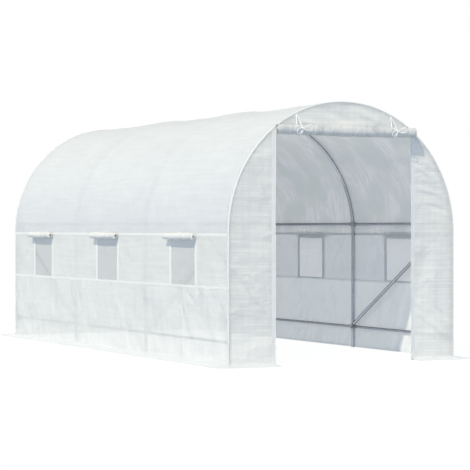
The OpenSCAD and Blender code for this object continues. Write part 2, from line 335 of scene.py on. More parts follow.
@dataclass
class CoverSurface:
    """The film over the hoops: a place along the tunnel and a way round the girth give a point.

    The film sags between the hoops, stands up over the inner ones and stays above the rails.
    Sizes and slants of ripples and folds are pairs, along the tunnel and round the girth.
    """

    shape: TunnelShape
    film_inset: float = 0.001
    wall_sag: float = 0.001
    roof_sag: float = 0.010
    roof_shares: Pair = (0.1, 0.6)
    crest: float = 0.007
    crest_reach: float = 0.20
    end_reach: float = 0.5
    hold_reach: float = 0.16
    held_share: float = 0.4
    seam_fade: float = 0.06
    drift: float = 0.0030
    drift_size: Pair = (0.52, 0.61)
    wall_fold: float = 0.0010
    low_fold: float = 0.0050
    roof_fold: float = 0.0024
    fold_slant: Pair = (0.35, 0.2)
    fold_size: Pair = (0.15, 0.40)
    fine: float = 0.0008
    fine_size: Pair = (0.07, 0.05)
    stiff: float = 0.0022
    slack: float = 0.0120
    rail_gap: float = 0.0056
    rail_reach: float = 0.018
    rail_slope: float = 0.2
    wide_ripple: Ripple = field(default_factory=lambda: Ripple(11))
    fold_ripple: Ripple = field(default_factory=lambda: Ripple(23))
    fine_ripple: Ripple = field(default_factory=lambda: Ripple(37))

    def wall_t(self, side: Side, z: Numbers) -> Numbers:
        """Way round the girth to a height on one of the walls."""
        return z if side is Side.LEFT else self.shape.girth - z

    def relief(self, y: Array, t: Array) -> Array:
        """How far the film stands out from the plain tunnel.

        Args:
            y: places along the tunnel.
            t: ways round the girth.

        Returns:
            The stand-out at each place; below zero where the film sags in between the hoops.
        """
        shape = self.shape
        bay = np.interp(y, shape.hoops, np.arange(len(shape.hoops)))
        nearest = np.min([np.abs(y - hoop) for hoop in shape.hoops], axis=0)
        free = ease(nearest / self.hold_reach)
        climb = np.minimum(t, shape.girth - t)
        arch = np.clip((climb - shape.spring) / (shape.radius * math.pi / 2), 0.0, 1.0)
        low = 1.0 - ease((climb - shape.lower_seam + self.seam_fade) / (2 * self.seam_fade))
        start, full = self.roof_shares
        over = ease((arch - start) / (full - start))

        sag = -(self.wall_sag + self.roof_sag * over) * np.sin(math.pi * (bay % 1.0))
        inner = (y > shape.hoops[0] + self.end_reach) & (y < shape.hoops[-1] - self.end_reach)
        ridge = self.crest * over * inner * np.exp(-((nearest / self.crest_reach) ** 2))
        drift = self.drift * (1.0 + over) * free * self.wide_ripple.at(y, t, self.drift_size)
        lean_y, lean_t = self.fold_slant
        slant = self.fold_ripple.at(y + lean_y * t, t - lean_t * y, self.fold_size)
        depth = self.wall_fold + self.low_fold * low + self.roof_fold * over
        folds = depth * creased(slant) * (self.held_share + (1.0 - self.held_share) * free)
        fine = self.fine * self.fine_ripple.at(y, t, self.fine_size)
        total = sag + ridge + drift + folds + fine

        off_rail = np.min([np.abs(climb - rail) for rail in shape.rails], axis=0)
        over_rail = self.rail_gap + self.rail_slope * np.maximum(off_rail - self.rail_reach, 0.0)
        deepest = np.minimum(self.stiff + self.slack * free, over_rail)
        limit = np.where(total < 0, deepest, self.stiff + self.crest * over)
        return limit * np.tanh(total / limit)

    def place(self, y: Array, t: Array, lift: Numbers = 0.0) -> Array:
        """Points of the cover.

        Args:
            y: places along the tunnel.
            t: ways round the girth.
            lift: distance outside the film.

        Returns:
            An array of points, one for each place.
        """
        shape = self.shape
        y, t, lift = np.broadcast_arrays(y, t, lift)
        angle = np.clip((t - shape.spring) / shape.radius, 0.0, math.pi)
        drop = np.maximum(shape.spring - np.minimum(t, shape.girth - t), 0.0)
        reach = shape.radius - self.film_inset + self.relief(y, t) + lift
        x = -reach * np.cos(angle)
        z = shape.spring + reach * np.sin(angle) - drop
        return np.stack([x, y, z], axis=-1)


@dataclass
class EndSurface:
    """The flat film of one end of the tunnel, over places across it and heights.

    Sizes and slants of ripples and folds are pairs, across the tunnel and up.
    """

    shape: TunnelShape
    outward: int
    seed: int
    creases: tuple[Fold, ...] = ()
    film_inset: float = 0.001
    hold_reach: float = 0.10
    held_share: float = 0.3
    drift: float = 0.0050
    drift_size: Pair = (0.34, 0.47)
    fold: float = 0.0040
    fold_slant: Pair = (0.4, 0.3)
    fold_size: Pair = (0.13, 0.36)
    fine: float = 0.0006
    fine_size: Pair = (0.06, 0.05)

    def relief(self, x: Array, z: Array) -> Array:
        """How far the film stands out from the flat end.

        Args:
            x: places across the tunnel.
            z: heights.

        Returns:
            The stand-out at each place, fading to nothing along the arch.
        """
        shape = self.shape
        rise = np.maximum(z - shape.spring, 0.0)
        free = ease((shape.radius - np.hypot(x, rise)) / self.hold_reach)
        wide_ripple, fold_ripple, fine_ripple = (Ripple(self.seed + k) for k in range(3))
        drift = self.drift * wide_ripple.at(x, z, self.drift_size)
        lean_x, lean_z = self.fold_slant
        slant = fold_ripple.at(x + lean_x * z, z - lean_z * x, self.fold_size)
        folds = self.fold * creased(slant)
        creases = sum((fold.at(x, z) for fold in self.creases), np.zeros_like(x))
        fine = self.fine * fine_ripple.at(x, z, self.fine_size)
        held = self.held_share + (1.0 - self.held_share) * free
        return free * (drift + folds + creases) + fine * held

    def place(self, x: Array, z: Array, lift: Numbers = 0.0) -> Array:
        """Points of the end film.

        Args:
            x: places across the tunnel.
            z: heights.
            lift: distance outside the film.

        Returns:
            An array of points, one for each place.
        """
        x, z, lift = np.broadcast_arrays(x, z, lift)
        plane = self.shape.front if self.outward < 0 else self.shape.back
        y = plane + self.outward * (self.relief(x, z) - self.film_inset + lift)
        return np.stack([x, y, z], axis=-1)


class Mesher:
    """Makes mesh objects out of arrays of points."""

    @staticmethod
    def solid(
        name: str, points: Array, faces: Sequence[Sequence[int]], uv: Array | None = None,
    ) -> bpy.types.Object:
        """Makes one smooth mesh object.

        Args:
            name: name of the piece.
            points: the corners.
            faces: corners of each face.
            uv: flat coordinates in metres for each face corner, in the order of the faces.

        Returns:
            The new object, linked to the scene.
        """
        mesh = bpy.data.meshes.new(name)
        mesh.from_pydata(points.reshape(-1, 3).tolist(), [], faces)
        mesh.polygons.foreach_set("use_smooth", np.ones(len(faces), bool))
        if uv is not None:
            layer = mesh.uv_layers.new(name=UV_NAME)
            layer.data.foreach_set("uv", uv.astype(np.float32).ravel())
        mesh.update()
        piece = bpy.data.objects.new(name, mesh)
        bpy.context.scene.collection.objects.link(piece)
        return piece

    @staticmethod
    def cells(grid: Array) -> Array:
        """Corners of every cell between the rows and columns of a grid, in order round it."""
        return np.stack([grid[:-1, :-1], grid[:-1, 1:], grid[1:, 1:], grid[1:, :-1]], axis=2)

    @classmethod
    def sheet(
        cls, name: str, points: Array, uv: Array, filled: Array | None = None, flip: bool = False,
    ) -> bpy.types.Object:
        """Makes a sheet out of rows and columns of points.

        Args:
            name: name of the piece.
            points: points by row and column.
            uv: flat coordinates in metres by row and column.
            filled: which cells between rows and columns are filled; all if left out.
            flip: turns the outside of the sheet round.

        Returns:
            The new object.
        """
        rows, columns = points.shape[:2]
        quads = cls.cells(np.arange(rows * columns).reshape(rows, columns))
        quads = quads[filled] if filled is not None else quads.reshape(-1, 4)
        if flip:
            quads = quads[:, ::-1]
        used, faces = np.unique(quads, return_inverse=True)
        corner_uv = uv.reshape(-1, 2)[quads.ravel()]
        kept = points.reshape(-1, 3)[used]
        return cls.solid(name, kept, faces.reshape(-1, 4).tolist(), corner_uv)

    @classmethod
    def sweep(cls, name: str, rings: Array) -> bpy.types.Object:
        """Makes a closed bar out of rings of points.

        Args:
            name: name of the piece.
            rings: points by ring and by place round the ring.

        Returns:
            The new object, with both ends capped.
        """
        count, sides = rings.shape[:2]
        index = np.arange(count * sides).reshape(count, sides)
        quads = cls.cells(np.hstack([index, index[:, :1]])).reshape(-1, 4)
        girth = run_along(np.vstack([rings[0], rings[0][:1]]))[-1]
        run = run_along(rings.mean(axis=1))
        flat = np.stack(np.meshgrid(np.linspace(0.0, girth, sides + 1), run), axis=-1)
        faces = [*quads.tolist(), index[0][::-1].tolist(), index[-1].tolist()]
        caps = np.zeros((2 * sides, 2))
        return cls.solid(name, rings, faces, np.vstack([cls.cells(flat).reshape(-1, 2), caps]))

    @staticmethod
    def join(name: str, pieces: Sequence[bpy.types.Object]) -> bpy.types.Object:
        """Joins pieces into the first one.

        Args:
            name: name of the joined piece.
            pieces: the pieces.

        Returns:
            The joined piece.
        """
        first = pieces[0]
        with bpy.context.temp_override(active_object=first, selected_editable_objects=list(pieces)):
            bpy.ops.object.join()
        first.name = first.data.name = name
        return first


class Graph:
    """Short ways to put nodes into a node tree and link them."""

    def __init__(self, tree: bpy.types.NodeTree) -> None:
        """Takes over a node tree and empties it."""
        self.tree = tree
        tree.nodes.clear()

    @classmethod
    def of_material(cls, name: str) -> tuple[bpy.types.Material, "Graph"]:
        """Makes a material.

        Args:
            name: name of the material.

        Returns:
            The material, and the graph of its empty node tree.
        """
        made = bpy.data.materials.new(name)
        made.use_nodes = True
        return made, cls(made.node_tree)

    def node(
        self, kind: str, inputs: dict[str, object] | None = None, **settings: object,
    ) -> bpy.types.Node:
        """Adds a node.

        Args:
            kind: Blender's name of the node type.
            inputs: values or sockets for its inputs, by name.
            settings: values for the node's own settings.

        Returns:
            The node.
        """
        made = self.tree.nodes.new(kind)
        for name, value in settings.items():
            setattr(made, name, value)
        for name, value in (inputs or {}).items():
            self.feed(made.inputs[name], value)
        return made

    def feed(self, socket: bpy.types.NodeSocket, value: object) -> None:
        """Sets an input socket to a value, or links it to an output socket.

        Args:
            socket: the input socket.
            value: the value or the output socket.
        """
        if isinstance(value, bpy.types.NodeSocket):
            self.tree.links.new(value, socket)
        else:
            socket.default_value = value

    def math(self, operation: str, *values: object) -> bpy.types.NodeSocket:
        """Adds a Math node and gives its output.

        Args:
            operation: Blender's name of the operation.
            values: numbers or sockets, in order.

        Returns:
            The output socket.
        """
        made = self.tree.nodes.new("ShaderNodeMath")
        made.operation = operation
        for socket, value in zip(made.inputs, values):
            self.feed(socket, value)
        return made.outputs[0]

    def times(self, value: object, factor: object) -> bpy.types.NodeSocket:
        """Multiplies two values."""
        return self.math("MULTIPLY", value, factor)

    def ramp(self, value: object, low: float, high: float) -> bpy.types.NodeSocket:
        """Maps a value from 0 and 1 to low and high."""
        return self.math("ADD", self.times(value, high - low), low)

    def mask(self, value: object, low: object, high: object) -> bpy.types.NodeSocket:
        """Maps a value from low and high to 0 and 1, and holds it there past them."""
        inputs = {"Value": value, "From Min": low, "From Max": high}
        return self.node("ShaderNodeMapRange", inputs).outputs["Result"]

    def noise(
        self, place: object, scale: float, detail: float, **inputs: float,
    ) -> bpy.types.NodeSocket:
        """Adds smooth noise.

        Args:
            place: coordinates.
            scale: ripples to the unit of the coordinates.
            detail: number of finer layers.
            inputs: values for the node's other inputs.

        Returns:
            The noise.
        """
        given = {"Vector": place, "Scale": scale, "Detail": detail, **inputs}
        return self.node("ShaderNodeTexNoise", given).outputs[0]

    def split(self, place: object) -> tuple[bpy.types.NodeSocket, ...]:
        """Takes coordinates apart."""
        return tuple(self.node("ShaderNodeSeparateXYZ", {"Vector": place}).outputs)

    def flat(self, x: object, y: object) -> bpy.types.NodeSocket:
        """Puts two coordinates together."""
        return self.node("ShaderNodeCombineXYZ", {"X": x, "Y": y}).outputs[0]

    def tint(self, share: object, one: object, other: object) -> bpy.types.NodeSocket:
        """Mixes two colours.

        Args:
            share: share of the other colour, which varies.
            one: colour or socket at 0.
            other: colour or socket at 1.

        Returns:
            The mixed colour.
        """
        made = self.node("ShaderNodeMix", data_type="RGBA")
        for name, value in (("Factor_Float", share), ("A_Color", one), ("B_Color", other)):
            self.feed(next(s for s in made.inputs if s.identifier == name), value)
        return next(s for s in made.outputs if s.identifier == "Result_Color")

    def bump(self, height: object, distance: float, **inputs: object) -> bpy.types.NodeSocket:
        """Turns a height into a normal.

        Args:
            height: the height.
            distance: depth of its relief in metres.
            inputs: values for the node's other inputs.

        Returns:
            The normal.
        """
        given = {"Height": height, "Distance": distance, **inputs}
        return self.node("ShaderNodeBump", given).outputs[0]

    def blend(
        self, share: object, one: bpy.types.NodeSocket, other: bpy.types.NodeSocket,
    ) -> bpy.types.NodeSocket:
        """Mixes two shaders.

        Args:
            share: share of the other shader.
            one: shader at 0.
            other: shader at 1.

        Returns:
            The mixed shader.
        """
        made = self.node("ShaderNodeMixShader", {"Fac": share})
        self.feed(made.inputs[1], one)
        self.feed(made.inputs[2], other)
        return made.outputs[0]

    def shader(self, kind: str, inputs: dict[str, object] | None = None) -> bpy.types.NodeSocket:
        """Adds a shader and gives its output."""
        return self.node(kind, inputs).outputs[0]

    def effect(
        self, tree: bpy.types.NodeTree, place: object, values: dict[str, float],
    ) -> bpy.types.NodeOutputs:
        """Places a shared group.

        Args:
            tree: the group.
            place: coordinates.
            values: values for its number inputs, by name.

        Returns:
            The group's outputs.
        """
        made = self.node("ShaderNodeGroup", node_tree=tree)
        for name, value in {"Vector": place, **values}.items():
            self.feed(made.inputs[name], value)
        return made.outputs

    def metres(self) -> bpy.types.NodeSocket:
        """Flat coordinates of the piece, in metres."""
        return self.node("ShaderNodeUVMap", uv_map=UV_NAME).outputs["UV"]

    def surface(self, shader: bpy.types.NodeSocket) -> None:
        """Gives a material its shader."""
        self.node("ShaderNodeOutputMaterial", {"Surface": shader})


class EffectGroups:
    """Shader node groups that the finishes share.

    Streaks are to the metre, along and up. Pitches are in metres, widths of ridges are shares of
    their pitch, and heights are shares of the depth that a finish sets.
    """

    STREAKS: Pair = (2.2, 34.0)
    RIB_SHARE = 0.7
    BAND_SHARE = 0.35
    THREAD_SHARE = 0.9
    THREAD_PITCH = 0.003
    RIB_HEIGHT = 1.5
    BAND_HEIGHT = 0.22
    THREAD_HEIGHT = 0.18
    CREASE_WIDTH = 0.07
    HOLE_EDGE = 0.12

    def __init__(self) -> None:
        """Builds every group once."""
        self.weave = self._weave()
        self.crumple = self._crumple()
        self.cloth = self._cloth()
        self.spangle = self._spangle()

    @staticmethod
    def _group(
        name: str, inputs: dict[str, float], outputs: Sequence[str],
    ) -> tuple[Graph, bpy.types.NodeOutputs]:
        """Makes a group with a vector input, number inputs and number outputs.

        Args:
            name: name of the group.
            inputs: first values of the number inputs, by name.
            outputs: names of the outputs.

        Returns:
            The group's graph, and what comes in.
        """
        tree = bpy.data.node_groups.new(name, "ShaderNodeTree")
        tree.interface.new_socket("Vector", in_out="INPUT", socket_type="NodeSocketVector")
        for socket, value in inputs.items():
            made = tree.interface.new_socket(socket, in_out="INPUT", socket_type="NodeSocketFloat")
            made.default_value = value
        for socket in outputs:
            tree.interface.new_socket(socket, in_out="OUTPUT", socket_type="NodeSocketFloat")
        graph = Graph(tree)
        return graph, graph.node("NodeGroupInput").outputs

    @staticmethod
    def _ridges(
        graph: Graph, place: object, pitch: object, share: float,
    ) -> bpy.types.NodeSocket:
        """Soft ridges at a pitch along one coordinate.

        Args:
            graph: the group's graph.
            place: the coordinate.
            pitch: distance from ridge to ridge.
            share: share of the pitch that a ridge takes.

        Returns:
            A mask that is 1 on the ridges.
        """
        phase = graph.math("FRACT", graph.math("DIVIDE", place, pitch))
        away = graph.math("ABSOLUTE", graph.math("SUBTRACT", phase, 0.5))
        inputs = {"Value": away, "From Min": share / 2, "From Max": 0.0}
        ridge = graph.node("ShaderNodeMapRange", inputs, interpolation_type="SMOOTHSTEP")
        return ridge.outputs["Result"]

    def _weave(self) -> bpy.types.NodeTree:
        """Reinforced film: ribs across, fainter bands along, uneven line by line, with haze.

        Returns:
            The group.
        """
        graph, given = self._group(
            "film_weave", {"Rib Pitch": 0.018, "Band Pitch": 0.057}, ("Height", "Ribs", "Haze"),
        )
        place = given["Vector"]
        along, up, _ = graph.split(place)
        streaks = graph.flat(graph.times(along, self.STREAKS[0]), graph.times(up, self.STREAKS[1]))
        uneven = graph.mask(graph.noise(streaks, scale=1.0, detail=2.5), 0.30, 0.72)
        patch = graph.mask(graph.noise(place, scale=2.3, detail=1.0), 0.35, 0.62)
        lines = graph.times(self._ridges(graph, up, given["Rib Pitch"], self.RIB_SHARE), patch)
        rib = graph.times(graph.ramp(lines, 0.5, 0.9), uneven)
        band = self._ridges(graph, along, given["Band Pitch"], self.BAND_SHARE)
        pitch, share = self.THREAD_PITCH, self.THREAD_SHARE
        thread = graph.times(*(self._ridges(graph, way, pitch, share) for way in (up, along)))
        haze = graph.noise(place, scale=5.5, detail=4.0, Roughness=0.6)
        ribs = graph.math(
            "ADD", graph.times(rib, self.RIB_HEIGHT), graph.times(band, self.BAND_HEIGHT),
        )
        height = graph.math("ADD", ribs, graph.times(thread, self.THREAD_HEIGHT))
        graph.node("NodeGroupOutput", {"Height": height, "Ribs": ribs, "Haze": haze})
        return graph.tree

    def _crumple(self) -> bpy.types.NodeTree:
        """Loose film: slanting folds, and sharper creases that come in patches and serve as a mask
        for painted shade.

        Returns:
            The group.
        """
        graph, given = self._group(
            "film_crumple", {"Across": 14.0, "Along": 5.0, "Slant": 0.3},
            ("Folds", "Creases", "Patches"),
        )
        x, y, _ = graph.split(given["Vector"])
        slid = graph.math("ADD", x, graph.times(y, given["Slant"]))
        place = graph.flat(graph.times(slid, given["Across"]), graph.times(y, given["Along"]))
        folds = graph.noise(place, scale=1.0, detail=2.0, Distortion=0.4)
        off_crease = graph.math("ABSOLUTE", graph.math("SUBTRACT", folds, 0.5))
        crease = graph.mask(off_crease, self.CREASE_WIDTH, 0.0)
        patch = graph.mask(graph.noise(given["Vector"], scale=3.1, detail=1.0), 0.40, 0.60)
        graph.node("NodeGroupOutput", {
            "Folds": graph.times(folds, graph.ramp(patch, 0.25, 1.0)),
            "Creases": graph.times(crease, patch),
            "Patches": patch,
        })
        return graph.tree

    def _cloth(self) -> bpy.types.NodeTree:
        """Woven cloth: crossing threads and the holes between them.

        Returns:
            The group.
        """
        graph, given = self._group(
            "cloth_weave", {"Pitch": 0.0022, "Thread Share": 0.7}, ("Height", "Cover"),
        )
        ways = graph.split(given["Vector"])[:2]
        threads = [self._ridges(graph, way, given["Pitch"], 1.0) for way in ways]
        height = graph.math("MAXIMUM", *threads)
        level = graph.math("SUBTRACT", 1.0, given["Thread Share"])
        cover = graph.mask(height, level, graph.math("ADD", level, self.HOLE_EDGE))
        graph.node("NodeGroupOutput", {"Height": height, "Cover": cover})
        return graph.tree

    def _spangle(self) -> bpy.types.NodeTree:
        """Zinc coating: flat crystals, dull stains and fine scratches.

        Returns:
            The group.
        """
        graph, given = self._group(
            "zinc_spangle", {"Crystal": 160.0}, ("Crystals", "Stain", "Height"),
        )
        place = given["Vector"]
        cells = graph.node("ShaderNodeTexVoronoi", {"Vector": place, "Scale": given["Crystal"]})
        parts = graph.node("ShaderNodeSeparateColor", {"Color": cells.outputs["Color"]})
        graph.node("NodeGroupOutput", {
            "Crystals": parts.outputs["Red"],
            "Stain": graph.noise(place, scale=9.0, detail=5.0, Roughness=0.65),
            "Height": graph.noise(place, scale=420.0, detail=2.0),
        })
        return graph.tree


@dataclass(frozen=True)
class Crumple:
    """How loose film folds: depth in metres, folds to the metre both ways, slant, and shade: the
    share by which the creases are painted darker, as painted shade.
    """

    depth: float = 0.004
    across: float = 14.0
    along: float = 5.0
    slant: float = 0.3
    # share of painted shade by which the creases are darkened
    shade: float = 0.3


@dataclass(frozen=True)
class InnerFace:
    """Colours of the film's inner face, a separate copy painted for the light inside: between
    patches, on patches as painted light, and in creases as painted shade.
    """

    plain: Colour
    # lighter colour of the patches: painted light
    patch: Colour
    # darker colour in the creases: painted shade
    crease: Colour
    # share of that painted crease shade
    shade: float


@dataclass(frozen=True)
class FilmFinish:
    """Woven film: pale, hazy, lets light through and shows dark things close behind it."""

    name: str
    pale: Colour
    deep: Colour
    glow: Colour = tone(0.815, 0.885, 0.925)
    clear_share: float = 0.13
    glow_share: float = 0.15
    ribs: float = 1.10
    rib_pitch: float = 0.018
    rib_depth: float = 0.0012
    bump: float = 0.55
    haze: float = 0.45
    roughness: Pair = (0.38, 0.56)
    ior: float = 1.42
    crumple: Crumple = Crumple()
    inner: InnerFace | None = None

    def build(self, groups: EffectGroups) -> bpy.types.Material:
        """Makes the material.

        Args:
            groups: the shared effects.

        Returns:
            The material.
        """
        made, graph = Graph.of_material(self.name)
        loose = self.crumple
        weave = graph.effect(groups.weave, graph.metres(), {"Rib Pitch": self.rib_pitch})
        folds = graph.effect(groups.crumple, graph.metres(), {
            "Across": loose.across, "Along": loose.along, "Slant": loose.slant,
        })
        mottle = graph.times(weave["Haze"], self.haze)
        share = graph.math("ADD", graph.times(weave["Ribs"], self.ribs), mottle)
        # Painted shade: the creases are tinted towards the deep colour, as shade falling in the
        # folds.
        share = graph.math("ADD", share, graph.times(folds["Creases"], loose.shade))
        base = graph.tint(share, self.pale, self.deep)
        # Inner face: seen from inside, the film takes other colours painted for the dimmer light
        # inside, with painted light on the patches and painted shade in the creases.
        if self.inner:
            plain = graph.tint(folds["Patches"], self.inner.plain, self.inner.patch)
            darker = graph.math("ADD", graph.times(folds["Creases"], self.inner.shade), mottle)
            inside = graph.tint(darker, plain, self.inner.crease)
            behind = graph.node("ShaderNodeNewGeometry").outputs["Backfacing"]
            base = graph.tint(behind, base, inside)
        normal = graph.bump(
            weave["Height"], self.rib_depth, Strength=self.bump,
            Normal=graph.bump(folds["Folds"], loose.depth),
        )
        skin = graph.shader("ShaderNodeBsdfPrincipled", {
            "Base Color": base,
            "Roughness": graph.ramp(weave["Haze"], *self.roughness),
            "Normal": normal,
            "IOR": self.ior,
        })
        glow = graph.shader("ShaderNodeBsdfTranslucent", {"Color": self.glow, "Normal": normal})
        film = graph.blend(self.glow_share, skin, glow)
        if self.clear_share > 0:
            clear = graph.shader("ShaderNodeBsdfTransparent")
            film = graph.blend(self.clear_share, film, clear)
        graph.surface(film)
        return made


@dataclass(frozen=True)
class TapeFinish:
    """Woven white tape, nearly opaque."""

    name: str
    pale: Colour = tone(0.822, 0.838, 0.840)
    deep: Colour = tone(0.755, 0.776, 0.782)
    glow_share: float = 0.06
    pitch: float = 0.0016
    depth: float = 0.0006
    bump: float = 0.35
    roughness: Pair = (0.75, 0.55)
    sheen: float = 0.1

    def build(self, groups: EffectGroups) -> bpy.types.Material:
        """Makes the material.

        Args:
            groups: the shared effects.

        Returns:
            The material.
        """
        made, graph = Graph.of_material(self.name)
        cloth = graph.effect(groups.cloth, graph.metres(), {"Pitch": self.pitch})
        normal = graph.bump(cloth["Height"], self.depth, Strength=self.bump)
        skin = graph.shader("ShaderNodeBsdfPrincipled", {
            "Base Color": graph.tint(cloth["Height"], self.deep, self.pale),
            "Roughness": graph.ramp(cloth["Height"], *self.roughness),
            "Normal": normal,
            "Sheen Weight": self.sheen,
        })
        glow = graph.shader("ShaderNodeBsdfTranslucent", {"Color": self.pale, "Normal": normal})
        graph.surface(graph.blend(self.glow_share, skin, glow))
        return made


@dataclass(frozen=True)
class NetFinish:
    """Fine insect net: pale threads with open holes."""

    name: str
    thread: Colour = tone(0.69, 0.71, 0.70)
    # darker colour where the weave's height falls, towards the edges of the threads
    darker: Colour = tone(0.59, 0.615, 0.605)
    glow: Colour = tone(0.76, 0.85, 1.0)
    pitch: float = 0.0026
    thread_share: float = 0.50
    glow_share: float = 0.20
    roughness: float = 0.7

    def build(self, groups: EffectGroups) -> bpy.types.Material:
        """Makes the material.

        Args:
            groups: the shared effects.

        Returns:
            The material.
        """
        made, graph = Graph.of_material(self.name)
        cloth = graph.effect(groups.cloth, graph.metres(), {
            "Pitch": self.pitch, "Thread Share": self.thread_share,
        })
        skin = graph.shader("ShaderNodeBsdfPrincipled", {
            "Base Color": graph.tint(cloth["Height"], self.darker, self.thread),
            "Roughness": self.roughness,
            "Alpha": cloth["Cover"],
        })
        glow = graph.shader("ShaderNodeBsdfTranslucent", {"Color": self.glow})
        graph.surface(graph.blend(self.glow_share, skin, glow))
        return made


@dataclass(frozen=True)
class ZincFinish:
    """Galvanised steel: grey metal with faint crystals and dull stains."""

    name: str
    bright: Colour
    dull: Colour
    roughness: Pair
    crystal: float
    crystal_share: float = 0.45
    stain_share: float = 0.55
    depth: float = 0.0004
    bump: float = 0.12
    rim: Colour = tone(0.08, 0.08, 0.09)

    def build(self, groups: EffectGroups) -> bpy.types.Material:
        """Makes the material.

        Args:
            groups: the shared effects.

        Returns:
            The material.
        """
        made, graph = Graph.of_material(self.name)
        place = graph.node("ShaderNodeTexCoord").outputs["Object"]
        zinc = graph.effect(groups.spangle, place, {"Crystal": self.crystal})
        crystals = graph.times(zinc["Crystals"], self.crystal_share)
        share = graph.math("ADD", crystals, graph.times(zinc["Stain"], self.stain_share))
        graph.surface(graph.shader("ShaderNodeBsdfPrincipled", {
            "Base Color": graph.tint(share, self.bright, self.dull),
            "Roughness": graph.ramp(zinc["Stain"], *self.roughness),
            "Normal": graph.bump(zinc["Height"], self.depth, Strength=self.bump),
            "Metallic": 1.0,
            "Specular Tint": self.rim,
        }))
        return made


